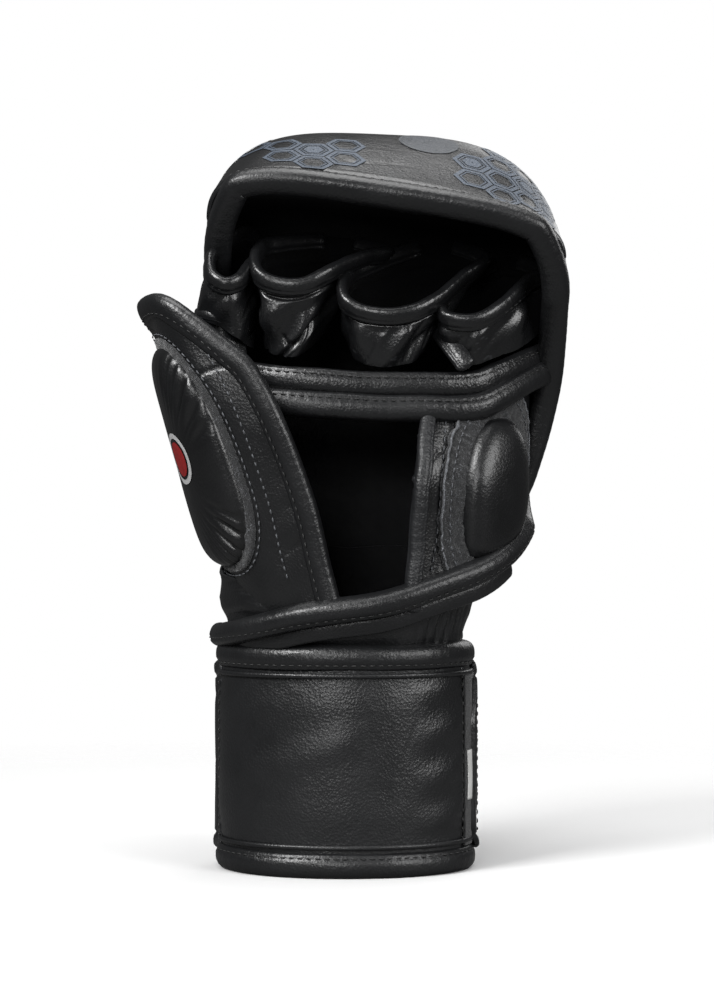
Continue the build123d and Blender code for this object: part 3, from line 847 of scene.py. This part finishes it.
def build_print():
    """Hexagons printed on the crown near both corners of the rim, and one plain disc."""
    samples = np.linspace(0, RIM, 400)
    middle = pad_surface(np.zeros(400), samples)
    length = np.concatenate([[0], np.cumsum(np.linalg.norm(np.diff(middle, axis=0), axis=1))])

    shares = np.sin(np.linspace(-1.5, 1.5, 300))
    round_over = pad_surface(shares, np.full(300, 4.2))
    girth = np.concatenate([[0], np.cumsum(np.linalg.norm(np.diff(round_over, axis=0), axis=1))])
    girth -= np.interp(0, shares, girth)
    stand_off = 0.2

    def lay(x, back):
        """Points at a distance round from the middle and back from the rim, standing off the leather."""
        u = np.interp(x, girth, shares)
        v = np.interp(length[-1] - np.asarray(back), length, samples)
        a = pad_surface(u, v)
        across = pad_surface(np.clip(u - 0.004, -1, 1), v) - a
        along = a - pad_surface(u, np.clip(v - 0.01, 0, RIM))
        return a + unit(np.cross(across, along)) * (0.4 * ripple(a, 34, 5) + stand_off)[..., None]

    turn = np.radians(np.arange(0, 361, 6))
    apothem = math.cos(math.pi / 6) / np.cos(turn % (math.pi / 3) - math.pi / 6)
    points, faces = [], []

    def ring(x, back, outer, inner):
        radius = np.array([outer, (outer + inner) / 2, inner])[None] * apothem[:, None]
        base = len(points)
        spots = lay(x + radius * np.cos(turn)[:, None], back + radius * np.sin(turn)[:, None])
        points.extend(spots.reshape(-1, 3))
        for k in range(len(turn) - 1):
            for r in range(2):
                a = base + 3 * k + r
                faces.append((a, a + 1, a + 4, a + 3))

    rng = np.random.default_rng(3)
    pitch = 12.6
    for column in range(-6, 7):
        for row in range(9):
            x = column * pitch * 0.866 - 3
            back = 9 + row * pitch + (pitch / 2 if column % 2 else 0)
            near = -46 < x < -8 or 25 < x < 64
            side = -66 < x < -36 or 38 < x < 68
            if not (near if back < 30 else side) or rng.random() < (back - 62) / 60:
                continue
            ring(x, back, 7.0, 5.3)
            ring(x, back, 4.8, 4.2)
            if rng.random() < 0.35:
                ring(x, back, 3.6, 0.3)
    dress(mesh_object("knuckle_print_hexagons", points, faces), "hand", HEX_INK, "leather")
    s, a = np.meshgrid(np.linspace(0.002, 1, 16), once_round(60))
    disc = lay(15 + 10.5 * s * np.cos(a), 40 + 10.5 * s * np.sin(a)).transpose(1, 0, 2)
    dress(sheet("knuckle_print_disc", disc, closed=True), "hand", DISC_INK, "leather")


# ---------------------------------------------------------------- walls: heel and thumb
def wall(outlines, s, t):
    """Points on a curved wall: s from its back to its free edge, t from its bottom to its top."""
    rows = np.array(outlines, float)
    levels = np.stack([station(rows[k], s * (rows.shape[1] - 1)) for k in range(len(rows))])
    t = t * (len(rows) - 1)
    ext = np.concatenate([[2 * levels[0] - levels[1]], levels, [2 * levels[-1] - levels[-2]]])
    i = np.minimum(t.astype(int), len(rows) - 2)
    index = tuple(np.indices(t.shape))
    return spline(*(ext[(i + k, *index)] for k in range(4)), (t - i)[..., None])


def wall_frame(outlines, s, t):
    """Points and outward normals of a wall, at places that are first brought inside it."""
    s, t = np.clip(s, 0, 1), np.clip(t, 0, 1)
    a = wall(outlines, s, t)
    ds = wall(outlines, np.clip(s + 0.01, 0, 1), t) - wall(outlines, np.clip(s - 0.01, 0, 1), t)
    dt = wall(outlines, s, np.clip(t + 0.01, 0, 1)) - wall(outlines, s, np.clip(t - 0.01, 0, 1))
    return a, unit(np.cross(ds, dt))


def oval(place, radius, angle, beyond=0.0, power=2.7):
    """Places (s, t) round an oval on a wall. Beyond widens it by a margin in millimetres."""
    centre_s, centre_t, half_s, half_t, wide, tall = place
    c, s = np.cos(angle), np.sin(angle)
    x = np.sign(c) * np.abs(c) ** (2 / power) * (radius + beyond / (half_s * wide))
    y = np.sign(s) * np.abs(s) ** (2 / power) * (radius + beyond / (half_t * tall))
    return centre_s + half_s * x, centre_t + half_t * y


def oval_frame(outlines, place, angle, beyond):
    """Points and normals of a wall round an oval's edge, moved out by a margin."""
    return wall_frame(outlines, *oval(place, 1.0, angle, beyond))


def pad_lift(high, radius, right, slope):
    """Height of a sewn pad: steep at its rim, with a top that may slope down to its right."""
    return high * np.maximum(0, 1 - radius**4.6) ** 0.5 * (1 - slope * step(-0.1, 1.0, right))


PUFF_FRAMES = 20


def swell(obj, pressure, cap):
    """Puffs a sheet with cloth under pressure, its rim held, and keeps every point within a cap."""
    before = np.array([v.co for v in obj.data.vertices])
    cloth_modifier = obj.modifiers.new("puff", "CLOTH")
    settings = cloth_modifier.settings
    settings.use_pressure = True
    settings.uniform_pressure_force = pressure
    settings.effector_weights.gravity = 0
    settings.vertex_group_mass = "rim"
    settings.quality = 6
    settings.tension_stiffness = 25
    settings.bending_stiffness = 3
    cloth_modifier.collision_settings.use_collision = False
    cloth_modifier.point_cache.frame_start = 1
    cloth_modifier.point_cache.frame_end = PUFF_FRAMES
    for f in range(1, PUFF_FRAMES + 1):
        bpy.context.scene.frame_set(f)
    evaluated = obj.evaluated_get(bpy.context.evaluated_depsgraph_get())
    after = np.array([v.co for v in evaluated.data.vertices])
    obj.modifiers.remove(cloth_modifier)
    bpy.context.scene.frame_set(1)
    move = after - before
    far = np.linalg.norm(move, axis=1, keepdims=True)
    move *= np.minimum(1, cap * MM / np.maximum(far, 1e-9))
    obj.data.vertices.foreach_set("co", (before + move).ravel())
    obj.data.update()


def side_pad(name, outlines, place, high, slope=0.0, pleated=0.0):
    """A raised oval pad sewn to a wall: steep rounded sides, and a top that may slope to one side."""
    rings, spokes, held = 50, 160, 4
    angle, radius = np.meshgrid(once_round(spokes), np.linspace(0.002, 1, rings))
    s, t = oval(place, radius, angle)
    base, n = wall_frame(outlines, s, t)
    lift = pad_lift(high, radius, radius * np.cos(angle), slope)
    fold = np.abs(np.sin(angle * 17 + 1.2 * np.sin(angle * 5))) ** 0.5
    ends = step(0.05, 0.5, np.cos(angle)) * step(0.1, 0.4, np.abs(np.sin(angle)))
    lift = lift - pleated * (1 - fold) * hill(radius, 0.8, 0.2) * ends
    lift = lift + 0.25 * ripple(base, 16, 3) - 0.6
    obj = sheet(name, base + n * lift[..., None], closed=True, flip=True)
    group = obj.vertex_groups.new(name="rim")
    group.add(list(range((rings - held) * spokes, rings * spokes)), 1.0, "REPLACE")
    return obj


HEEL_PAD = (0.475, 0.545, 0.22, 0.335, 64, 70)


def build_heel():
    s, t = net((0, 1, 80), (0, 1, 110))
    grid = wall(HEEL_WALL, s, t)
    out = 0.5 * ripple(grid, 12, 3) - 0.6 * creases(grid, 15, 0.1, 4) - 0.5 * hill(s, 0.155, 0.012)
    dress(sheet("heel_panel_leather", puff(grid, out), 2.0), "hand", SOFT_LEATHER, "leather", "heel_panel")
    along = np.linspace(0.02, 0.9, 120)
    edge, n = wall_frame(HEEL_WALL, np.zeros(120), along)
    path = even(edge + n * 0.3 + [2.0, 0, 0], 150)
    path = path + [0.7, 0.5, 0] * ripple(path, 13, 4)[:, None]
    roll = sweep("heel_free_edge_tape", path, bound(5.4, 4.6, 0.14), (-1, -0.3, 0), wave=0.014)
    dress(roll, "hand", HEEL_TAPE, "edge_tape")
    line, n = wall_frame(HEEL_WALL, np.full(120, 0.135), along)
    sew("heel_free_edge_stitches", line + n * 0.4, n, "hand", GREY_THREAD, "edge_tape")

    turn = once_round(420)
    a, wide = np.meshgrid(turn, np.linspace(-1.5, 8.0, 30))
    circle = np.stack([np.cos(a) * 30, np.sin(a) * 30, wide * 0], -1)
    ragged = 0.9 * ripple(circle, 1.9, 3) * step(5.5, 8, wide)
    base, n = oval_frame(HEEL_WALL, HEEL_PAD, a, wide + ragged)
    high = 1.5 + 0.45 * ripple(base, 1.5, 6) + 0.4 * ripple(base, 5, 2) - 1.3 * step(7.0, 8.0, wide)
    border = sheet("heel_pad_suede_border", base + n * high[..., None], 0.8, closed=True, flip=True)
    dress(border, "hand", SUEDE, "leather")
    circle = np.stack([np.cos(turn), np.sin(turn), turn * 0], -1) * 30
    line, n = oval_frame(HEEL_WALL, HEEL_PAD, turn, 7.3 + 0.5 * ripple(circle, 1.9, 3))
    ring = line + n * (1.5 + 0.3 * ripple(line, 1.4, 9))[:, None]
    cut = sweep("heel_pad_cut_edge", ring, rounded(1.0, 0.9, 2, 8), n, True, 0.12)
    dress(cut, "hand", CUT_SUEDE, "leather")
    line, n = oval_frame(HEEL_WALL, HEEL_PAD, turn, 4.6)
    ring = looped(np.hstack([line + n * 1.75, n]))
    sew("heel_pad_stitches", ring[:, :3], ring[:, 3:], "hand", GREY_THREAD, "leather", 2.6, 1.9, 0.26)
    pad = side_pad("heel_pad_leather", HEEL_WALL, HEEL_PAD, 7.5)
    swell(pad, 3.0, 1.5)
    dress(pad, "hand", PAD_LEATHER, "leather", "heel_pad_cover", "heel_pad_foam")


THUMB_BEND = ("hand", "thumb", (-45, 0, 96), (-52, -4, 140))
THUMB_PAD = (0.405, 0.545, 0.325, 0.335, 69, 102)
THUMB_PAD_HIGH, THUMB_PAD_SLOPE = 8.0, 0.3


def thumb_outline(s):
    """The highest t of the thumb at each s: its tip is rounded towards the palm."""
    return 1 - 0.16 * np.maximum(0, (s - 0.52) / 0.48) ** 2.6 - 0.07 * np.maximum(0, (0.3 - s) / 0.3) ** 2


def thumb_place(s, t):
    return wall(THUMB_WALL, s, t * thumb_outline(s))


def build_thumb():
    s, t = net((0, 1, 110), (0, 1, 150))
    grid = thumb_place(s, t)
    low = 1 - step(0.1, 0.3, t)
    out = 0.45 * ripple(grid, 10, 2) - (0.6 + 1.3 * low) * creases(grid, 11, 0.12, 5)
    grid = puff(grid, out)
    dress(sheet("thumb_leather", grid, 1.3), THUMB_BEND, SOFT_LEATHER, "leather", "thumb_shell")
    inside = puff(thumb_place(s, t), -2.6 + 0.5 * ripple(grid, 15, 8) - 0.5 * creases(grid, 24, 0.07, 6))
    lining = sheet("thumb_inner_lining", inside, 0.8, flip=True)
    dress(lining, THUMB_BEND, THUMB_LINING, "lining", "thumb_lining")

    # Bound edge along the top and down the free side.
    rim_s = np.concatenate([np.linspace(0, 1, 120), np.ones(150)])
    rim_t = np.concatenate([np.ones(120), np.linspace(1, 0.02, 150)])
    rim = thumb_place(rim_s, rim_t)
    around = wall_frame(THUMB_WALL, rim_s, rim_t * thumb_outline(rim_s))[1]
    inner = thumb_place(np.clip(rim_s * 0.94 + 0.03, 0, 1), rim_t * 0.94 + 0.02)
    out = unit(rim - inner)
    data = even(np.hstack([rim - around * 1.4, out, around]), 360)
    data = smoothed(data, 7)
    path, out, around = data[:, :3], unit(data[:, 3:6]), unit(data[:, 6:])
    roll = sweep("thumb_edge_tape", path, bound(8.2, 6.4, 0.12), out, wave=0.006)
    dress(roll, THUMB_BEND, TAPE_LEATHER, "edge_tape", "thumb_edge_binding")
    line = path + around * 2.9 - out * 2.3
    sew("thumb_edge_stitches", line, around, THUMB_BEND, BLACK_THREAD, "edge_tape")
    margin = np.linspace(0.2, 0.86, 160)
    line, n = wall_frame(THUMB_WALL, np.full(160, 0.845), margin)
    sew("thumb_margin_stitches", line + n * 0.35, n, THUMB_BEND, GREY_THREAD, "leather", 2.7, 1.7, 0.3)

    pad = side_pad("thumb_pad_leather", THUMB_WALL, THUMB_PAD, THUMB_PAD_HIGH, THUMB_PAD_SLOPE, pleated=2.8)
    swell(pad, 3.0, 1.5)
    dress(pad, THUMB_BEND, PAD_LEATHER, "leather", "thumb_pad_cover", "thumb_pad_foam")
    turn = np.linspace(0, 2 * math.pi, 240)
    a, wide = np.meshgrid(turn[:-1], np.linspace(-1.0, 2.8, 8))
    base, n = oval_frame(THUMB_WALL, THUMB_PAD, a, wide)
    high = 0.8 + 0.35 * ripple(base, 1.9, 6) - 0.6 * step(2.0, 2.8, wide)
    border = sheet("thumb_pad_suede_border", base + n * high[..., None], 0.6, closed=True, flip=True)
    dress(border, THUMB_BEND, SUEDE, "leather")
    line, n = oval_frame(THUMB_WALL, THUMB_PAD, turn, 4.0)
    sew("thumb_pad_stitches", line + n * 0.5, n, THUMB_BEND, GREY_THREAD, "leather", 2.7, 1.9, 0.28)
    build_thumb_emblem()
    build_thumb_strap()
    build_web()


def build_thumb_emblem():
    """A plain two-colour roundel on the thumb's pad."""
    red, pale = ink("emblem_red", 0.32, (1.0, 0.05, 0.05)), ink("emblem_white", 0.6, (1, 1, 1))

    def patch(name, inner, outer, material):
        a, r = np.meshgrid(once_round(48), np.linspace(inner, outer, 8))
        x, y = r * np.cos(a) + 0.12, r * np.sin(a) * 0.62 + 0.14
        s, t = THUMB_PAD[0] + THUMB_PAD[2] * x, THUMB_PAD[1] + THUMB_PAD[3] * y
        base, n = wall_frame(THUMB_WALL, s, t)
        lift = pad_lift(THUMB_PAD_HIGH, np.hypot(x, y), x, THUMB_PAD_SLOPE)
        lift = lift + 0.25 * ripple(base, 16, 3) - 0.4
        print_on = sheet(name, base + n * lift[..., None], closed=True, flip=True)
        dress(print_on, THUMB_BEND, material, "leather")

    patch("thumb_emblem_disc", 0.004, 0.2, red)
    patch("thumb_emblem_ring", 0.24, 0.30, pale)


def build_thumb_strap():
    low, high = box("thumb_strap")
    path = smooth_path([(-47, -6, 0), (-36, -7, 0), (-28, -15, 0), (-29, -27, 0), (-34, -33, 0)], 70)
    s, t = net((0, 1, 70), (low[2], high[2], 40))
    base = np.broadcast_to(path[None], (40, 70, 3)).copy()
    base[..., 2] = t
    edge = np.minimum(t - low[2], high[2] - t)
    grid = puff(base, 0.7 * step(0, 3, edge) + 0.2 * ripple(base, 9, 2))
    dress(sheet("thumb_inner_strap", grid, 1.4), "thumb", GLOSS_LEATHER, "leather", "thumb_strap")
    for k, column in enumerate((60, 4)):
        line = grid[4:-4, column]
        n = normals(grid)[4:-4, column]
        sew(f"thumb_strap_stitches_{k}", line + n * 0.15, n, "thumb", WHITE_THREAD, "leather", 2.4, 1.7,
            0.28)


def build_web():
    """Soft leather that joins the hand's thumb side to the thumb, and the wall down from the rim."""
    rows = np.linspace(0.1, 0.97, 60)
    thumb_side = thumb_place(np.full(60, 0.02), rows)
    v = np.interp(thumb_side[:, 2], [112, 131, 163, 191], [0, 1, 2, 3])
    edge = station(THUMB_EDGE, v)
    hand_side = np.stack([pad_x(-1, v) + 3, edge[:, 0] - 4, thumb_side[:, 2]], 1)
    share = np.linspace(0, 1, 30)[:, None]
    grid = hand_side[:, None] * (1 - share) + thumb_side[:, None] * share
    sag = np.sin(share[:, 0] * math.pi)[None] * np.linspace(1, 6, 60)[:, None]
    grid[..., 1] -= sag * 0.6
    grid[..., 0] += sag * 0.3
    grid = puff(grid, 0.5 * ripple(grid, 9, 3) + 0.6 * creases(grid, 11, 0.1, 2))
    web = sheet("thumb_web_leather", grid, 1.3)
    dress(web, ("hand", "thumb", (-47, 10, 150), (-60, 2, 158)), SOFT_LEATHER, "leather", "thumb_gusset")
    high = smooth_path([(-45, -2, 190), (-49.5, -9, 191), (-50, -17, 190.5), (-47, -23.5, 189.5),
                        (-41, -25, 187.5),
                        (-34, -17, 184)], 60)
    low = smooth_path([(-46, -4, 170), (-48, -9, 172), (-47, -16, 173), (-43, -21, 173.5), (-38, -23, 174),
                       (-33, -22, 174)], 60)
    share = np.linspace(0, 1, 26)[:, None, None]
    grid = low[None] * (1 - share) + high[None] * share
    grid = puff(grid, 0.8 * ripple(grid, 9, 5) - 1.0 * creases(grid, 12, 0.15, 7, (1, 0, 0.2)))
    dress(sheet("index_side_leather", grid, 1.4), "hand", SOFT_LEATHER, "leather", "index_side_wall")
    roll = sweep("index_side_edge_tape", even(high, 120), bound(3.6, 2.8, 0.1), (0, 0, 1), wave=0.006)
    dress(roll, "hand", TAPE_LEATHER, "edge_tape")


# ---------------------------------------------------------------- bar, finger loops, gauntlet
def build_bar():
    path = smooth_path(BAR_PATH, 260)
    front = unit(np.cross(tangents(path), (0, 0, -1.0)))
    narrow = step(42, 71, path[:, 0])[:, None]
    upper = path - [0, 0, 3.4] * (1 - 0.3 * narrow)
    upper[:, 1] += 0.6 * ripple(path, 12, 4)
    upper[:, 2] += 0.4 * ripple(path, 16, 7)
    bar = sweep("grip_bar_leather", upper, bound(8.4, 5.4, 0.14), (0, 0, -1), wave=0.006)
    dress(bar, "hand", SOFT_LEATHER, "leather", "grip_bar_cover", "grip_bar_core")
    low = path - [0, 0, 11.6] * (1 - 0.32 * narrow) + front * 0.6
    low[:, 2] += 0.4 * ripple(path, 15, 1)
    roll = sweep("grip_bar_edge_tape", low, bound(9.2, 8.2, 0.12), (0, 0, -1), wave=0.006)
    dress(roll, "hand", TAPE_LEATHER, "edge_tape", "grip_bar_binding")
    sew("grip_bar_stitches", low + front * 3.6 + [0, 0, 2.6], front, "hand", BLACK_THREAD, "edge_tape")
    sew("grip_bar_upper_stitches", upper + front * 2.5 + [0, 0, 2.2], front, "hand", BLACK_THREAD, "leather")
    tab = smooth_path([(31, -13, 187), (34, -20, 182), (38, -25.5, 176), (40.5, -27.5, 172.5)], 40)
    fold = sweep("bar_fold_leather", tab, bound(7.0, 3.4, 0.3), (1, 0.2, 0.8))
    dress(fold, "hand", SOFT_LEATHER, "leather")


# Each finger loop as a ring of points round its mouth and a ring of as many round its foot. Both rings
# start at the back on the thumb side, and the bound lip follows the stated number of points of the mouth.
LOOPS = {
    "index": (
        [
            (-35, -6, 221), (-40.5, -14, 216), (-44.5, -22, 210), (-44.5, -28, 203.5), (-40, -30.5, 200),
            (-35.5, -28, 202), (-32.5, -20, 208), (-30, -6, 214), (-31, 2, 218),
        ],
        [
            (-46, -4, 188), (-50, -9, 189), (-50.5, -16, 189), (-48.5, -22, 188), (-43, -25, 186),
            (-37, -24, 182), (-33, -18, 179), (-31, -10, 180), (-36, -2, 184),
        ],
        8,
    ),
    "middle": (
        [
            (-24.5, -10, 216), (-28.8, -18, 213), (-30, -24, 208), (-28, -28, 203), (-22, -29.5, 200.2),
            (-14, -29.5, 200.2), (-7, -27, 203.5), (0, -20, 208), (8, -12, 211.5), (14, -4, 214),
            (-4, 5, 219),
        ],
        [
            (-25, -8, 181), (-27, -12, 180), (-27, -17, 178), (-26, -21, 176.5), (-23, -23, 175.5),
            (-19, -23.5, 175), (-15.5, -22, 176), (-13, -18, 178), (-11, -13, 180), (-10, -8, 182),
            (-17, -3, 183),
        ],
        10,
    ),
    "ring": (
        [
            (6.5, -10, 208), (1.8, -17, 204.5), (-0.3, -24, 199.5), (1, -28.5, 194), (7, -30.5, 190.8),
            (15.5, -31, 189.8), (24, -29.5, 191.6), (31.5, -25, 196), (39, -18, 203), (47.5, -9, 211),
            (30, 4, 217),
        ],
        [
            (3, -8, 181), (1, -12, 180), (0.5, -17, 177), (2.5, -22, 174.5), (8, -24.5, 172.5),
            (15.5, -25, 171.8), (22, -24, 172.5), (26, -20, 175), (28, -14, 178), (28, -8, 181),
            (16, -3, 183),
        ],
        10,
    ),
    "little": (
        [
            (37.5, -10, 200), (34, -17, 197), (32.8, -23, 192.5), (35, -27.5, 189), (40.5, -29, 187.8),
            (46, -28, 189), (51.5, -25, 192.5), (57, -20, 198), (62, -14, 203), (68, -7, 207),
            (54, 3, 212),
        ],
        [
            (36, -8, 182), (34, -12, 180), (34.5, -17, 177), (37, -21, 174), (42, -22.5, 172.5),
            (49, -21, 174), (55, -18, 176.5), (60, -14, 179), (64, -9, 182), (67, -4, 186), (54, 0, 186),
        ],
        10,
    ),
}


def ring_curve(points, at):
    """The smooth closed curve through a ring of points, at positions counted in points."""
    wrapped = np.array(points[-2:] + points + points[:3], float)
    return station(wrapped, 2 + np.asarray(at))


def build_loop(finger, seed):
    mouth_ring, foot_ring, lip = LOOPS[finger]
    round_it = np.linspace(0, len(mouth_ring), 15 * len(mouth_ring), endpoint=False)
    mouth, foot = ring_curve(mouth_ring, round_it), ring_curve(foot_ring, round_it)
    outward = unit((mouth - mouth.mean(0)) * [1, 1, 0])
    t = np.linspace(1, 0, 90)[:, None, None]
    grid = mouth[None] * (1 - t) + foot[None] * t
    grid = grid + outward[None] * (1.2 * np.sin(t * math.pi))
    # Folds run from the high side of the mouth down to its low side, on the palm side only.
    x, z = grid[..., 0], grid[..., 2]
    turned = np.stack([(x * 0.6 + z * 0.8) * 0.25, x * 0.8 - z * 0.6, grid[..., 1] * 0.7], -1)
    fold = 2.6 * ripple(turned, 6, seed + 5) - 2.4 * creases(turned, 8, 0.26, seed)
    fold -= 0.9 * creases(grid, 7, 0.14, seed + 3)
    fold = fold * step(0.2, 0.45, t[..., 0]) * (1 - step(-17, -9, grid[..., 1]))
    seam = 0.9 * hill(t[..., 0], 0.22, 0.03)
    grid = puff(grid, fold - seam, closed=True)
    body = f"{finger}_finger"
    loop = sheet(f"{finger}_loop_leather", grid, 1.1, closed=True)
    # The loop's inside face takes the lining that is darkened as painted shade.
    dress(loop, body, LOOP_LEATHER, "leather", f"{finger}_loop", inside=LOOP_LINING_PAINTED_SHADE)

    front = np.linspace(-0.8, lip - 0.4, 160)
    edge, below = ring_curve(mouth_ring, front), ring_curve(foot_ring, front)
    data = even(np.hstack([edge, unit(below - edge), unit((edge - mouth.mean(0)) * [1, 1, 0])]), 190)
    path, down, away = data[:, :3] + data[:, 3:6] * 1.6, unit(data[:, 3:6]), unit(data[:, 6:])
    path[:, 2] += 0.35 * ripple(path, 7, seed)
    hem = sweep(f"{finger}_hem_tape", path + away * 0.7, bound(6.2, 4.0, 0.2), -down, wave=0.008)
    dress(hem, body, LOOP_LEATHER, "edge_tape", f"{finger}_loop_hem")
    line = path + down * 1.7 + away * 2.3
    sew(f"{finger}_hem_stitches", line, away, body, BLACK_THREAD, "edge_tape", 2.6, 1.8, 0.22)


def build_gauntlet():
    """Creased leather between the cuff and the hand, which takes up the bend of the wrist."""
    angle, t = np.meshgrid(np.radians(np.linspace(0, 360, 260, endpoint=False)), np.linspace(0, 1, 100))
    c, s = np.cos(angle), np.sin(angle)
    a = 39.5 + 4.5 * step(0.1, 0.9, t)
    b_front, b_back = 28.5 + 5.5 * step(0.1, 0.9, t), 28.5 - 2.5 * step(0.3, 0.9, t)
    b = np.where(s < 0, b_front, b_back)
    # It reaches up inside the pad at the back, so no gap opens there when the wrist bends.
    top = 97 + 5 * np.maximum(0, c) + 6 * np.maximum(0, -c) - 4 * np.maximum(0, -s) + 13 * np.maximum(0, s)
    z = 70 + (top - 70) * t
    grid = np.stack([a * c + 2.0 * t * step(0, 1, c + 0.5), b * s, z], -1)
    squeezed = grid * [0.8, 0.8, 2.6]
    out = 1.2 * ripple(squeezed, 13, 2) - 1.3 * creases(squeezed, 17, 0.2, 5)
    gather = np.abs(np.sin(angle * 26)) ** 0.6
    out -= 2.4 * (1 - gather) * hill(np.degrees(angle), 322, 13) * step(0.2, 0.6, t)
    out *= step(0.05, 0.3, t) * (1 - 0.85 * step(0, 0.5, s) * step(0.4, 0.8, t))
    grid = puff(grid, out, closed=True)
    dress(sheet("gauntlet_leather", grid, 1.2, closed=True), WRIST_BEND, SOFT_LEATHER, "leather", "gauntlet",
          inside=LINING)


# ---------------------------------------------------------------- stage
def build_stage():
    floor = mesh_object("floor", [(-3000, -3000, 0), (3000, -3000, 0), (3000, 3000, 0), (-3000, 3000, 0)],
                        [(0, 1, 2, 3)])
    n = Nodes("pale_floor")
    seen = n.add("ShaderNodeLightPath").outputs["Is Camera Ray"]
    n.set("Base Color", n.mix(seen, colour(0.12), n.mix(n.noise(3), colour(0.86), colour(0.9))))
    n.set("Roughness", 0.6)
    # Far from the glove the floor fades out, so it has no horizon.
    far = n.add("ShaderNodeVectorMath", operation="LENGTH")
    n.give(far.inputs[0], n.place)
    clear = n.add("ShaderNodeBsdfTransparent")
    blend = n.add("ShaderNodeMixShader")
    n.give(blend.inputs[0], n.span(far.outputs["Value"], 0.14, 0.5))
    n.give(blend.inputs[1], n.shader.outputs[0])
    n.give(blend.inputs[2], clear.outputs[0])
    n.give(n.tree.nodes["Material Output"].inputs["Surface"], blend.outputs[0])
    floor.data.materials.append(n.material)
    # The camera sees a white room, and the leather reflects a dim one.
    world = bpy.data.worlds.new("studio")
    world.use_nodes = True
    tree = world.node_tree
    seen = tree.nodes.new("ShaderNodeLightPath").outputs["Is Camera Ray"]
    strength = tree.nodes.new("ShaderNodeMapRange")
    strength.inputs["To Min"].default_value = 0.07
    strength.inputs["To Max"].default_value = 1.0
    tree.links.new(seen, strength.inputs["Value"])
    tree.links.new(strength.outputs[0], tree.nodes["Background"].inputs["Strength"])
    tree.nodes["Background"].inputs["Color"].default_value = (1.0, 1.0, 1.0, 1.0)
    bpy.context.scene.world = world

    lamps_aim = Vector((0, 0, 0.14))

    def lamp(name, place, power, size):
        light = bpy.data.lights.new(name, "AREA")
        light.energy = power
        light.size = size
        obj = bpy.data.objects.new(name, light)
        obj.location = place
        obj.visible_camera = False
        obj.rotation_euler = (lamps_aim - Vector(place)).to_track_quat("-Z", "Y").to_euler()
        bpy.context.scene.collection.objects.link(obj)

    lamp("key_softbox", (-0.7, -0.7, 0.95), 16, 0.45)
    lamp("fill_softbox", (0.9, -0.75, 0.55), 8, 0.6)
    lamp("front_softbox", (-0.2, -1.1, 0.4), 3.5, 0.35)
    lamp("top_softbox", (0.05, 0.05, 1.2), 9, 0.8)
    lamp("rim_softbox", (0.5, 0.9, 0.7), 3, 0.7)

    camera = bpy.data.objects.new("camera", bpy.data.cameras.new("camera"))
    camera.data.lens = 88
    camera.data.sensor_width = 36
    aim = Vector((0.004, 0.0, 0.127))
    elevation, distance = math.radians(-0.5), 0.85
    back = Vector((0.0, -math.cos(elevation), math.sin(elevation)))
    camera.location = aim + back * distance
    camera.rotation_euler = (-back).to_track_quat("-Z", "Y").to_euler()
    bpy.context.scene.collection.objects.link(camera)
    bpy.context.scene.camera = camera
    bpy.context.scene.view_settings.view_transform = "Standard"


build_cuff()
build_strap()
build_pad_cover()
build_pad_inside()
build_pad_edge()
build_print()
build_heel()
build_thumb()
build_bar()
for seed, name in enumerate(LOOPS):
    build_loop(name, seed + 1)
build_gauntlet()
build_stage()
